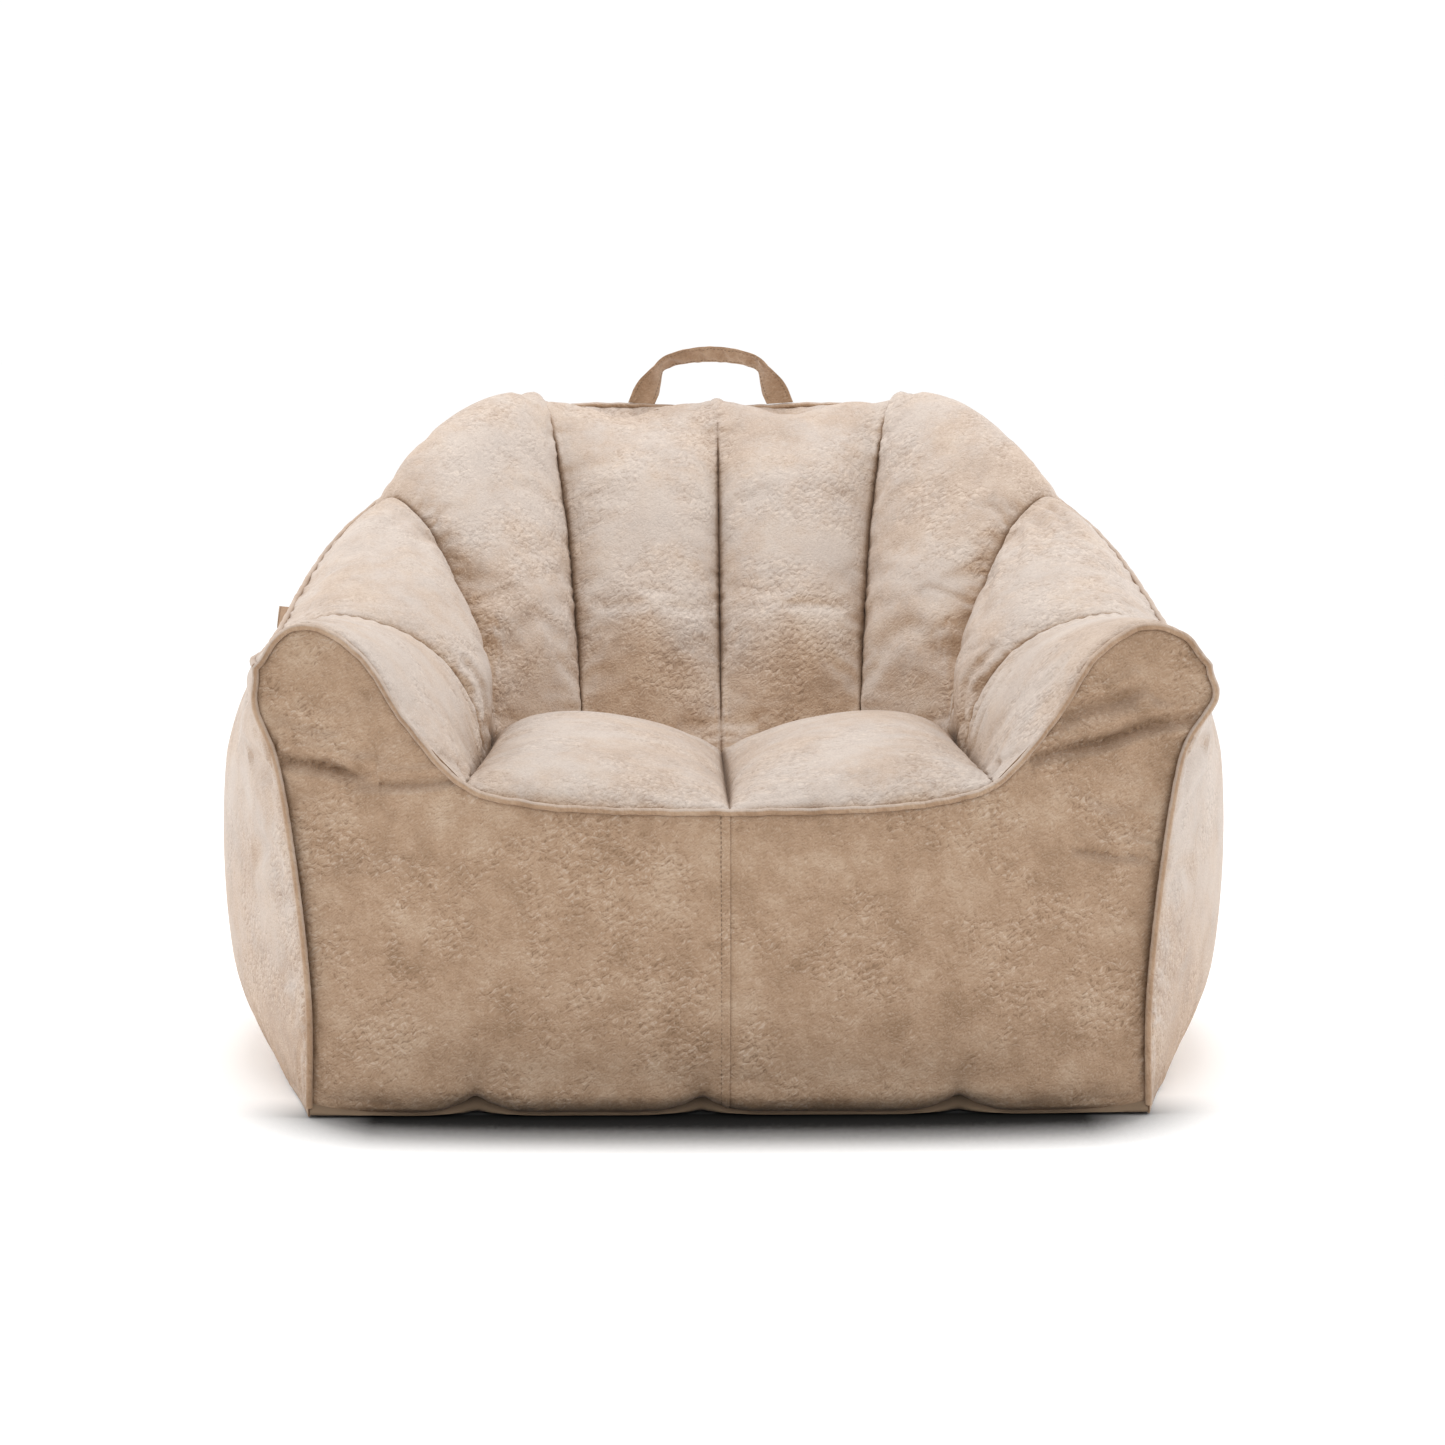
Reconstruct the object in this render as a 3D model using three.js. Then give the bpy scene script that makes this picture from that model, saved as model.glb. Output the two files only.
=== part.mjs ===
// Bean bag lounge chair with a horseshoe of eight puffed channels round a two-pad seat.
// Millimetres, +Z up, the chair faces -Y and its right arm (seen from the front) is on +X.
// The origin is on the floor, at the middle of the chair.
import * as THREE from "three";
import { mergeVertices } from "three/addons/utils/BufferGeometryUtils.js";

// ---- Driving dimensions -------------------------------------------------------------------
const HALF_WIDTH = 502; // the belly of a side panel
const HALF_DEPTH = 405; // the belly of the front and back panels
const BACK_TOP = 647; // the crest of the back, at its seams
const ARM_TOP = 467; // the crest of an arm, at the front piping
const SEAT_FRONT = 298; // the front edge of the seat
const SEAT_REAR = 288; // where the seat pads meet the backrest

const FABRIC = 2.5; // cover fabric with its backing
const SLACK = 9; // from the inside of the cover to the bag of beads inside it
const SEAM_GAP = 0.006; // half the gap at a seam between two channels, in stations
const PIPING_RADIUS = 3.5;
const PIPING_CLEAR = 6; // from a piped edge's line to the fabric beside it
const BAG_FLOOR = 7; // the bags' undersides, above the zip
const CROWN = 62; // how far a seat pad rises above its seams

const ZIP_Y = 125;
const ZIP_HALF_LENGTH = 290;
const ZIP_TRAVEL = 540;
const ZIP_SLOT = 20; // the open strip between the two base panels
const HANDLE_WIDTH = 30;
const HANDLE_THICK = 3;

// ---- Sections of the horseshoe --------------------------------------------------------------
// Each station is a seam: a line of points from the floor inside, over the crest, to the floor
// outside. Station 0 is the middle of the back and station 4 the front of an arm.
// inner_foot, seat joint, middle, upper, crest, rim seam, shoulder, belly, foot
const STATIONS = [
  [[0, 66, BAG_FLOOR], [0, 66, SEAT_REAR], [0, 160, 415], [0, 248, 540], [0, 330, BACK_TOP],
    [0, 370, 634], [0, 389, 385], [0, HALF_DEPTH - 12, 125], [0, 358, 1]],
  [[146, 58, BAG_FLOOR], [146, 58, SEAT_REAR], [156, 150, 420], [170, 245, 540], [192, 325, BACK_TOP - 2],
    [205, 360, 630], [226, 377, 380], [232, 379, 125], [212, 345, 1]],
  [[228, -8, BAG_FLOOR], [232, -8, 300], [272, 65, 425], [310, 122, 510], [346, 160, 548],
    [388, 192, 528], [436, 222, 360], [442, 226, 120], [388, 196, 1]],
  [[238, -130, BAG_FLOOR], [240, -130, 304], [270, -112, 382], [318, -115, 428], [395, -122, 451],
    [454, -118, 431], [488, -112, 325], [HALF_WIDTH - 18, -108, 95], [448, -110, 1]],
  [[242, -366, BAG_FLOOR], [250, -393, 322], [308, -380, 383], [352, -365, 445], [398, -354, ARM_TOP],
    [451, -354, 431], [426, -371, 310], [404, -382, 120], [404, -383, 1]],
];
const JOINT = 1;
const RIM = 5;
const FOOT = 8;
const FRONT_STATION = 4;

// How far a channel stands out of its seams at the seat joint, middle, upper, crest and rim.
const PUFF = {
  back: [0, 36, 34, -14, 0],
  shoulder: [0, 36, 38, 34, 0],
  wing: [0, 30, 30, 16, 0],
  arm: [0, 9, 15, 11, 0],
};

const OUTER_PUFF = 14; // the same for the panels round the outside

const vec = (p) => new THREE.Vector3(...p);
const mirrored = (p) => [-p[0], p[1], p[2]];
const lerp = (a, b, s) => a + (b - a) * s;

// One curve per place in the sections, from station -1 (the mirror of 1) to station 4.
const alongWall = STATIONS[0].map(
  (_, j) => new THREE.CatmullRomCurve3([vec(mirrored(STATIONS[1][j])), ...STATIONS.map((s) => vec(s[j]))]),
);
const wallPoint = (j, t) => alongWall[j].getPoint((t + 1) / 5);

// The channels' surface runs from the seat joint (v 0) to the rim seam (v 4).
// The outer panels' surface runs from the rim seam (v 0) to the foot (v 3).
function sectionPoint(first, last, t, v) {
  const points = [];
  for (let j = first; j <= last; j++) points.push(wallPoint(j, t));
  return new THREE.CatmullRomCurve3(points).getPoint(v / (last - first));
}

// The unit normal, out of the wall, by differences.
function normalOf(surface, t, v, vMax) {
  const d = 0.01;
  const dt = surface(Math.min(t + d, 4), v).sub(surface(Math.max(t - d, -1), v));
  const dv = surface(t, Math.min(v + d, vMax)).sub(surface(t, Math.max(v - d, 0)));
  return dt.cross(dv).normalize();
}

const innerSurface = (t, v) => sectionPoint(JOINT, RIM, t, v);
const outerSurface = (t, v) => sectionPoint(RIM, FOOT, t, v);

function puffAt(puff, v) {
  const j = Math.min(Math.floor(v), puff.length - 2);
  return lerp(puff[j], puff[j + 1], THREE.MathUtils.smoothstep(v - j, 0, 1));
}

// A point of a channel that spans stations t0 to t0 + 1: s across it, v up it, out by offset.
function channelPoint(t0, puff, s, v, offset) {
  const t = t0 + s;
  const arch = Math.pow(Math.max(0, 4 * s * (1 - s)), 0.6);
  const n = normalOf(innerSurface, t, v, 4);
  return innerSurface(t, v).addScaledVector(n, arch * puffAt(puff, v) + offset);
}

// A point of a panel round the outside. It stands out of the seams at its two ends as well.
function outerPoint(t, v, offset) {
  const s = (t % 2) / 2;
  const arch = Math.pow(Math.max(0, 4 * s * (1 - s)), 0.5) * Math.pow(Math.sin((Math.PI * v) / 3), 0.7);
  return outerSurface(t, v).addScaledVector(normalOf(outerSurface, t, v, 3), OUTER_PUFF * arch + offset);
}

// ---- Solids ---------------------------------------------------------------------------------
// A box of nu x nv x nw cells, each corner moved to place(u, v, w), with u, v and w from 0 to 1.
function moulded(nu, nv, nw, place) {
  const box = new THREE.BoxGeometry(1, 1, 1, nu, nv, nw);
  const at = box.getAttribute("position");
  for (let i = 0; i < at.count; i++) {
    const p = place(at.getX(i) + 0.5, at.getY(i) + 0.5, at.getZ(i) + 0.5);
    at.setXYZ(i, p.x, p.y, p.z);
  }
  box.deleteAttribute("normal");
  box.deleteAttribute("uv");
  const merged = mergeVertices(box, 1e-3);
  merged.computeVertexNormals();
  return merged;
}

// A round cord along points.
function roundCord(points, radius, steps) {
  const section = new THREE.Shape().absarc(0, 0, radius, 0, 2 * Math.PI);
  return new THREE.ExtrudeGeometry(section, {
    steps,
    curveSegments: 6,
    extrudePath: new THREE.CatmullRomCurve3(points),
    bevelEnabled: false,
  });
}

// ---- Materials ------------------------------------------------------------------------------
const cover = new THREE.MeshStandardMaterial({ color: 0xc3a88e, roughness: 0.8, metalness: 0 });
const cord = new THREE.MeshStandardMaterial({ color: 0xb7997c, roughness: 0.8, metalness: 0 });
const lining = new THREE.MeshStandardMaterial({ color: 0xe9e6df, roughness: 0.9, metalness: 0 });
const baseCloth = new THREE.MeshStandardMaterial({ color: 0x8d7a68, roughness: 0.9, metalness: 0 });
const label = new THREE.MeshStandardMaterial({ color: 0x9a7f69, roughness: 0.7, metalness: 0 });
const zipTape = new THREE.MeshStandardMaterial({ color: 0x7a6a5b, roughness: 0.9, metalness: 0 });
const zipNylon = new THREE.MeshStandardMaterial({ color: 0x6b5c4e, roughness: 0.5, metalness: 0 });
const zipMetal = new THREE.MeshStandardMaterial({ color: 0x8a8a8c, roughness: 0.35, metalness: 1 });

const chair = new THREE.Group();

function add(name, geometry, material, parent = chair) {
  const mesh = new THREE.Mesh(geometry, material);
  mesh.name = name;
  parent.add(mesh);
  return mesh;
}

// The same geometry on the right and, mirrored, on the left.
const leftHalf = new THREE.Group();
leftHalf.scale.x = -1;
chair.add(leftHalf);

function addPair(name, geometry, material) {
  add(`${name}_right`, geometry, material);
  add(`${name}_left`, geometry, material, leftHalf);
}

// ---- Channels: a cover panel over a bag of beads ---------------------------------------------
function channelPanel(t0, puff) {
  const seatEdge = 0.05;
  const rimEdge = 3.84;
  return moulded(6, 8, 1, (u, v, w) =>
    channelPoint(t0, puff, lerp(SEAM_GAP, 1 - endGap(t0), u), lerp(seatEdge, rimEdge, v), lerp(-FABRIC, 0, w)),
  );
}

// A seam's half gap, or at the front of an arm the room for the piping.
const endGap = (t0) => (t0 + 1 === FRONT_STATION ? 0.022 : SEAM_GAP);

// The whole thickness of the wall behind a channel's panel, from the bags' floor to the crest.
// u runs along the wall, w from its outside to its inside, v up.
function channelBag(t0, puff) {
  const topInside = 3.3; // between the crest and the rim
  const topOutside = 0.12; // just under the rim
  return moulded(6, 6, 2, (u, v, w) => {
    const s = lerp(0.03, t0 + 1 === FRONT_STATION ? 0.945 : 0.97, u);
    const t = t0 + s;
    const depth = SLACK + FABRIC;
    const inside =
      v < 0.21
        ? wallPoint(0, t).addScaledVector(normalOf(innerSurface, t, 0.4, 4).setZ(0), -depth)
        : channelPoint(t0, puff, s, lerp(0.1, topInside, (v - 0.2) / 0.8), -depth);
    const outside = outerPoint(t, lerp(2.94, topOutside, v), -depth);
    const p = outside.lerp(inside, w);
    if (v === 0) p.z = BAG_FLOOR;
    return p;
  });
}

const CHANNELS = [
  ["back", 0],
  ["shoulder", 1],
  ["wing", 2],
  ["arm", 3],
];
for (const [name, t0] of CHANNELS) {
  addPair(`${name}_channel_panel`, channelPanel(t0, PUFF[name]), cover);
  addPair(`${name}_bead_bag`, channelBag(t0, PUFF[name]), lining);
}

// ---- Front ----------------------------------------------------------------------------------
// The top edge of the front panel, from the middle out to the arm's outer corner.
const FRONT_EDGE = [
  [0, -401, SEAT_FRONT],
  [115, -400, SEAT_FRONT + 2],
  [190, -398, SEAT_FRONT + 8],
  ...STATIONS[FRONT_STATION].slice(JOINT, RIM + 1),
].map(vec);
const SEAT_CORNER = 3 / 7; // the seat's corner on that edge
const frontEdge = new THREE.CatmullRomCurve3(FRONT_EDGE);
const cornerSeam = new THREE.CatmullRomCurve3(STATIONS[FRONT_STATION].slice(RIM).map(vec));
const FRONT_BELLY = 22;

// The front panel: a across it from the middle, b up it. It swells forwards, but not at its corner.
function frontPoint(a, b, back) {
  const top = frontEdge.getPoint(a);
  const corner = cornerSeam.getPoint(1 - b);
  const cornerTop = cornerSeam.getPoint(0);
  const foot = new THREE.Vector3((top.x * 404) / cornerTop.x, -378, 1);
  top.z -= PIPING_CLEAR;
  const p = foot.lerp(top, b);
  p.x += Math.pow(a, 3) * (corner.x - lerp(404, cornerTop.x, b)) - PIPING_CLEAR * Math.pow(a, 6);
  const swell = FRONT_BELLY * Math.pow(Math.sin(Math.PI * Math.pow(b, 0.7)), 0.8);
  p.y += back - swell * (1 - Math.pow(a, 6));
  return p;
}

const CENTRE_GAP = 0.001;
addPair(
  "front_panel",
  moulded(12, 6, 1, (u, v, w) => frontPoint(lerp(CENTRE_GAP, 1, u), v, lerp(0, FABRIC, 1 - w))),
  cover,
);

// ---- Seat -----------------------------------------------------------------------------------
// The right half of the seat in plan: a from the middle outwards, b from the front to the back.
const SEAT_BACK_CORNER = 1.75; // the station where the side of the seat turns into its back
const seatJoint = (t) => wallPoint(JOINT, t);
const seatFront = (a) => frontEdge.getPoint(a * SEAT_CORNER);
const seatSide = (b) => seatJoint(lerp(FRONT_STATION, SEAT_BACK_CORNER, b));
const seatBack = (a) => seatJoint(a * SEAT_BACK_CORNER);
const seatMiddle = (b) => seatFront(0).lerp(seatBack(0), b);

function seatPoint(a, b) {
  const across = seatMiddle(b).lerp(seatSide(b), a);
  const along = seatFront(a).lerp(seatBack(a), b);
  const corners = seatFront(0)
    .lerp(seatFront(1), a)
    .lerp(seatBack(0).lerp(seatBack(1), a), b);
  const p = across.add(along).sub(corners);
  p.z += CROWN * Math.pow(Math.sin(Math.PI * a), 0.55) * Math.pow(Math.sin(Math.PI * b), 0.45);
  return p;
}

const seatInset = (s, from, to) => lerp(from, to, s);
addPair(
  "seat_panel",
  moulded(8, 9, 1, (u, v, w) => {
    const p = seatPoint(seatInset(u, 0.003, 0.97), seatInset(v, 0.016, 0.98));
    p.z += lerp(-FABRIC, 0, w);
    return p;
  }),
  cover,
);
addPair(
  "seat_bead_bag",
  moulded(6, 6, 3, (u, v, w) => {
    const p = seatPoint(seatInset(u, 0.03, 0.95), seatInset(v, 0.05, 0.95));
    const top = p.z - FABRIC - SLACK;
    p.z = lerp(BAG_FLOOR, top, w);
    const front = frontPoint((p.x / 250) * SEAT_CORNER, Math.min(1, p.z / SEAT_FRONT), SLACK + FABRIC + 3).y;
    p.y = Math.max(p.y, lerp(front, p.y, v));
    return p;
  }),
  lining,
);

// ---- Outer panels ---------------------------------------------------------------------------
const BACK_CORNER = 2; // the station of the seam between a side panel and a back panel
function outerPanel(t0, t1, cells) {
  return moulded(cells, 6, 1, (u, v, w) => {
    const t = lerp(t0, t1, u);
    const top = PIPING_CLEAR / wallPoint(RIM, t).distanceTo(wallPoint(RIM + 1, t));
    return outerPoint(t, lerp(top, 2.995, v), lerp(-FABRIC, 0, w));
  });
}
addPair("back_panel", outerPanel(SEAM_GAP, BACK_CORNER - SEAM_GAP, 9), cover);
addPair("side_panel", outerPanel(BACK_CORNER + SEAM_GAP, FRONT_STATION - 0.022, 10), cover);

// ---- Base -----------------------------------------------------------------------------------
// Two flat panels inside the feet of the outer panels, with the zip between them.
function basePanel(outline) {
  return new THREE.ExtrudeGeometry(new THREE.Shape(outline), { depth: FABRIC, bevelEnabled: false });
}
const BASE_INSET = 7;
function footOutline(t) {
  const p = wallPoint(FOOT, t);
  const n = normalOf(outerSurface, t, 2.5, 3).setZ(0).normalize();
  return new THREE.Vector2(p.x - n.x * BASE_INSET, p.y - n.y * BASE_INSET);
}
// The station where the foot's outline crosses a line y.
function stationAt(y) {
  let [low, high] = [0, FRONT_STATION];
  for (let i = 0; i < 40; i++) {
    const middle = (low + high) / 2;
    if (footOutline(middle).y > y) low = middle;
    else high = middle;
  }
  return low;
}
function halfOutline(t0, t1, cells) {
  return Array.from({ length: cells + 1 }, (_, i) => footOutline(lerp(t0, t1, i / cells)));
}
const bothSides = (half) => [...half, ...half.map((p) => new THREE.Vector2(-p.x, p.y)).reverse()];
const rearEdge = ZIP_Y + ZIP_SLOT / 2;
const frontZipEdge = ZIP_Y - ZIP_SLOT / 2;
add("base_panel_rear", basePanel(bothSides(halfOutline(0.001, stationAt(rearEdge), 8).reverse())), baseCloth);
const frontHalf = halfOutline(stationAt(frontZipEdge), 3.93, 7);
frontHalf.push(new THREE.Vector2(frontHalf.at(-1).x, -368));
add("base_panel_front", basePanel(bothSides(frontHalf)), baseCloth);

// ---- Zip ------------------------------------------------------------------------------------
const TAPE_Z = FABRIC + 0.4;
const TAPE_THICK = 0.8;
const TAPE_WIDTH = 14;
const CHAIN_WIDTH = 5;
const CHAIN_THICK = 1.6;
const STOP_LENGTH = 4;

function bar(x, y, z) {
  return new THREE.BoxGeometry(x, y, z);
}
function addTape(name, side) {
  const tape = add(name, bar(2 * ZIP_HALF_LENGTH, TAPE_WIDTH, TAPE_THICK), zipTape);
  tape.position.set(0, ZIP_Y + side * (CHAIN_WIDTH / 2 + 0.4 + TAPE_WIDTH / 2), TAPE_Z + TAPE_THICK / 2);
}
addTape("zip_tape_rear", 1);
addTape("zip_tape_front", -1);
const chain = add("zip_chain", bar(2 * ZIP_HALF_LENGTH - 20, CHAIN_WIDTH, CHAIN_THICK), zipNylon);
chain.position.set(0, ZIP_Y, TAPE_Z + TAPE_THICK / 2);
for (const [name, side] of [["zip_stop_closed", 1], ["zip_stop_open", -1]]) {
  const stop = add(name, bar(STOP_LENGTH, CHAIN_WIDTH, CHAIN_THICK), zipMetal);
  stop.position.set(side * (ZIP_HALF_LENGTH - 10 + 0.4 + STOP_LENGTH / 2), ZIP_Y, TAPE_Z + TAPE_THICK / 2);
}

// The slider hangs under the chain: a shield-shaped plate with a raised bridge, and no pull.
const SLIDER_LENGTH = 13;
const SLIDER_WIDTH = 9;
const SLIDER_Z = 0.6;
const SLIDER_THICK = 1.2;
const shield = new THREE.Shape([
  new THREE.Vector2(SLIDER_LENGTH / 2, SLIDER_WIDTH / 2),
  new THREE.Vector2(-SLIDER_LENGTH / 2, SLIDER_WIDTH / 3.2),
  new THREE.Vector2(-SLIDER_LENGTH / 2, -SLIDER_WIDTH / 3.2),
  new THREE.Vector2(SLIDER_LENGTH / 2, -SLIDER_WIDTH / 2),
]);
const slider = add(
  "zip_slider",
  new THREE.ExtrudeGeometry(shield, { depth: SLIDER_THICK, bevelEnabled: false }),
  zipMetal,
);
slider.position.set(ZIP_TRAVEL / 2, ZIP_Y, SLIDER_Z);

// ---- Piping ---------------------------------------------------------------------------------
const both = (half) => [...half.map((p) => p.clone().setX(-p.x)).reverse(), ...half.slice(1)];
const forward = (p) => p.clone().add(new THREE.Vector3(0, -2, 0));
const frontLine = [...FRONT_EDGE, ...STATIONS[FRONT_STATION].slice(RIM + 1).map(vec)].map(forward);
frontLine.at(-1).z = PIPING_RADIUS + 0.6;
add("front_piping", roundCord(both(frontLine), PIPING_RADIUS, 84), cord);

const RIM_STEPS = 8;
const RIM_END = 3.94; // short of the front piping
const rimLine = Array.from({ length: RIM_STEPS + 1 }, (_, i) => wallPoint(RIM, (i / RIM_STEPS) * RIM_END));
add("rim_piping", roundCord(both(rimLine), PIPING_RADIUS, 64), cord);

// ---- Handle ---------------------------------------------------------------------------------
// A folded strap that stands up from the rim seam. Its ends lie flat in the seam, and its top
// leans so that its underside shows from the front.
const HANDLE_X = -6.5; // sewn in just left of the middle
const HANDLE_RISE = 58;
const HANDLE_FOOT = PIPING_RADIUS + 4.5;
const HANDLE_STATION = 0.4;
const handleLine = new THREE.CatmullRomCurve3(
  both([[0, 0, HANDLE_RISE], [22, 0, 56.5], [53.5, 0, 47], [67.6, 0, 26], [77, 0, HANDLE_FOOT]].map(vec)),
);
const HANDLE_TILT = THREE.MathUtils.degToRad(-52);
function handlePoint(u, v, w) {
  const middle = handleLine.getPoint(u);
  const tangent = handleLine.getTangent(u);
  const tilt = HANDLE_TILT * Math.pow(Math.sin(Math.PI * u), 1.5);
  const inPlane = new THREE.Vector3(-tangent.z, 0, tangent.x).normalize();
  const out = inPlane.clone().multiplyScalar(Math.cos(tilt)).add(new THREE.Vector3(0, Math.sin(tilt), 0));
  const face = new THREE.Vector3().crossVectors(tangent, out).normalize();
  const p = middle.addScaledVector(out, (v - 0.5) * HANDLE_WIDTH).addScaledVector(face, (w - 0.5) * HANDLE_THICK);
  p.z = Math.max(p.z, HANDLE_FOOT);
  return p;
}
const handle = add("handle_strap", moulded(20, 2, 1, handlePoint), cover);
// It turns about the rim seam where its ends are sewn in.
handle.position.copy(wallPoint(RIM, HANDLE_STATION)).setX(HANDLE_X);

// ---- Label ----------------------------------------------------------------------------------
// A plain folded tab that stands out of the left rim seam.
const LABEL_OUT = 13; // at its back corner, and less at its front one
const LABEL_OUT_FRONT = 5;
const LABEL_THICK = 2.4;
add(
  "side_label",
  moulded(2, 2, 1, (u, v, w) => {
    const p = wallPoint(RIM, lerp(2.69, 2.86, u));
    p.x += PIPING_RADIUS + 3 + v * lerp(LABEL_OUT, LABEL_OUT_FRONT, u);
    p.z += (w - 0.5) * LABEL_THICK + 2 * v;
    return p;
  }),
  label,
  leftHalf,
);

export default chair;
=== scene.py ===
"""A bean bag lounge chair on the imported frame: puffed channels, seat pads, piping, handle, label and zip."""

import math

import bmesh
import bpy
import numpy as np
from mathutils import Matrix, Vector


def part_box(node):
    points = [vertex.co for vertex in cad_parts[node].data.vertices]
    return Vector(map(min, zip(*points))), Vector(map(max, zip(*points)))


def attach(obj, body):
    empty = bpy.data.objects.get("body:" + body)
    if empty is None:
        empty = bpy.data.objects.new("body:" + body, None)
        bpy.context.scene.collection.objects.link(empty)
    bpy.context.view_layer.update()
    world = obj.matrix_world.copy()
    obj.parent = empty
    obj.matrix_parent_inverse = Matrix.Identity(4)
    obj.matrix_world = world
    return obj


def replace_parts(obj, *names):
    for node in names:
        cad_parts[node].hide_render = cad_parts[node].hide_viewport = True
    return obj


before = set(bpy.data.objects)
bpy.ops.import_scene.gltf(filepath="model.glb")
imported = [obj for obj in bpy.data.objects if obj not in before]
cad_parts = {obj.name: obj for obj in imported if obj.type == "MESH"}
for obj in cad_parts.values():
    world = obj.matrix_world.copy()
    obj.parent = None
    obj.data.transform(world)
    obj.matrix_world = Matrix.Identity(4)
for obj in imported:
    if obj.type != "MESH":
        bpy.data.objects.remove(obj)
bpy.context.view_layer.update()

# ---- Driving dimensions, in metres ----------------------------------------------------------
MM = 0.001
CROWN = 0.062  # how high each seat pad is crowned
OUTER_PUFF = 0.014  # how far the side and back panels stand out
FRONT_BELLY = 0.020  # how far the front panels stand out
FRONT_FOOT_Y = -0.378  # depth of the front's hem, before it is drawn up and bellied
HEM_HEIGHT = 0.004
FABRIC = 0.0022  # thickness of the cover
PIPING_RADIUS = 0.0034
PIPING_STEP = 0.004
CELL = 0.0065  # size of the cloth's cells
OUTER_CELL = 1.4 * CELL
BAG_INSET = 0.019  # how far the bead bags lie behind the cover
BAG_FOOT = 0.012  # height of the bead bags' undersides

CLOTH_FRAMES = 20
CLOTH_MASS = 0.1
CLOTH_STIFF = 15
CLOTH_BEND = 0.5
CLOTH_SLACK = 0.032  # how much too large the cloth is cut
CLOTH_PRESSURE = 4.0
CLOTH_CAP = 0.014  # the furthest that any point may move
SWELLING_KEPT = 0.2  # the share of the cloth's slow swelling that stays

HANDLE_SEAM = np.array([-0.0065, 0.3736, 0.6368])  # where the handle is sewn in
HANDLE_WIDTH = 0.030
HANDLE_THICK = 0.0030
SEWN_AT = 0.74  # where the handle's stitches run, as a share of its half width

ZIP_Y = 0.125
ZIP_HALF_LENGTH = 0.290
TAPE_INNER, TAPE_OUTER = 0.0030, 0.0165  # edges of a zip tape, from the middle of the zip
ZIP_OPENING = 0.0075  # half the gap between the base cloths
COIL_HALF_LENGTH = 0.279
COIL_PITCH = 0.0015
COIL_WIRE = 0.00042

CAMERA_AT = (-0.0756, -4.2, 0.9)
CAMERA_AIM = (0, 0, 0.329)
CAMERA_LENS = 101.35
LAMP_AIM = (0, 0, 0.3)
LAMPS = {  # each lamp's size, power and place
    "top": ((1.8, 1.2), 30, (0, 0.15, 2.6)),
    "left": ((1.2, 1.8), 22, (-2.4, 0.1, 1.2)),
    "right": ((1.2, 1.8), 22, (2.4, 0.1, 1.2)),
}
FLOOR_SIZE = 15

# Colours of the suede: its clouds from dark to light, its tint in painted light, the painted shade and
# highlight on its grain, and the painted shade in its creases.
CLOUDS = ((0.285, 0.182, 0.110), (0.378, 0.252, 0.163), (0.470, 0.345, 0.245))
PAINTED_LIGHT_TINT = (0.490, 0.450, 0.422)
GRAIN_PAINTED_SHADE = (0.16, 0.092, 0.052)
GRAIN_PAINTED_HIGHLIGHT = (0.68, 0.575, 0.485)
CREASE_PAINTED_SHADE = (0.15, 0.080, 0.036)

# Seams of the horseshoe, from the middle of the back (0) to the front of an arm (4), in mm: inner foot,
# seat joint, middle, upper, crest, rim seam, shoulder, belly and foot.
STATIONS = MM * np.array([
    [[0, 66, 7], [0, 66, 288], [0, 160, 415], [0, 248, 540], [0, 330, 647],
     [0, 370, 634], [0, 389, 385], [0, 393, 125], [0, 358, 1]],
    [[146, 58, 7], [146, 58, 288], [156, 150, 420], [170, 245, 540], [192, 325, 645],
     [205, 360, 630], [226, 377, 380], [232, 379, 125], [212, 345, 1]],
    [[228, -8, 7], [232, -8, 300], [272, 65, 425], [310, 122, 510], [346, 160, 548],
     [388, 192, 528], [436, 222, 360], [442, 226, 120], [388, 196, 1]],
    [[238, -130, 7], [240, -130, 304], [270, -112, 382], [318, -115, 428], [395, -122, 451],
     [454, -118, 431], [488, -112, 325], [484, -108, 95], [448, -110, 1]],
    [[242, -366, 7], [250, -393, 322], [308, -380, 383], [352, -365, 445], [398, -354, 467],
     [451, -354, 431], [426, -371, 310], [404, -382, 120], [404, -383, 1]],
])
JOINT, RIM, FOOT = 1, 5, 8

# How far a channel stands out of its seams at the seat joint, middle, upper, crest and rim.
PUFF = {
    "back": MM * np.array([6, 38, 36, -12, 0]),
    "shoulder": MM * np.array([6, 38, 38, 32, 0]),
    "wing": MM * np.array([6, 32, 30, 16, 0]),
    "arm": MM * np.array([2, 10, 15, 11, 0]),
}
CHANNELS = {"back": 0, "shoulder": 1, "wing": 2, "arm": 3}
CREST_DIP = {-1: (0.54, 0.036), 1: (0.42, 0.022)}  # where each middle channel's crest sags, and how far

# Where the filled chair bulges past its seams, or has a blunted corner: a place, a push and the push's reach.
BULGES = [
    ((0.436, -0.358, 0.456), (0.010, 0, 0.008), 0.034),
    ((-0.426, -0.358, 0.458), (-0.003, 0, 0.008), 0.032),
    ((0.450, -0.364, 0.399), (0.018, 0, 0), 0.030),
    ((-0.446, -0.362, 0.390), (-0.007, 0, 0), 0.030),
    ((0.451, -0.352, 0.431), (-0.005, 0, -0.004), 0.022),
    ((-0.451, -0.352, 0.431), (0.004, 0, -0.003), 0.022),
    ((0.484, -0.290, 0.385), (0.013, 0, 0.003), 0.065),
    ((-0.484, -0.290, 0.385), (-0.010, 0, 0.003), 0.065),
]

# How much of the simulated puckering each kind of panel keeps.
PUCKER = {
    "front": 0.30,
    "seat": 0.40,
    "back": 0.40,
    "shoulder": 0.55,
    "wing": 0.60,
    "arm": 0.65,
    "side": 0.40,
}

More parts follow.
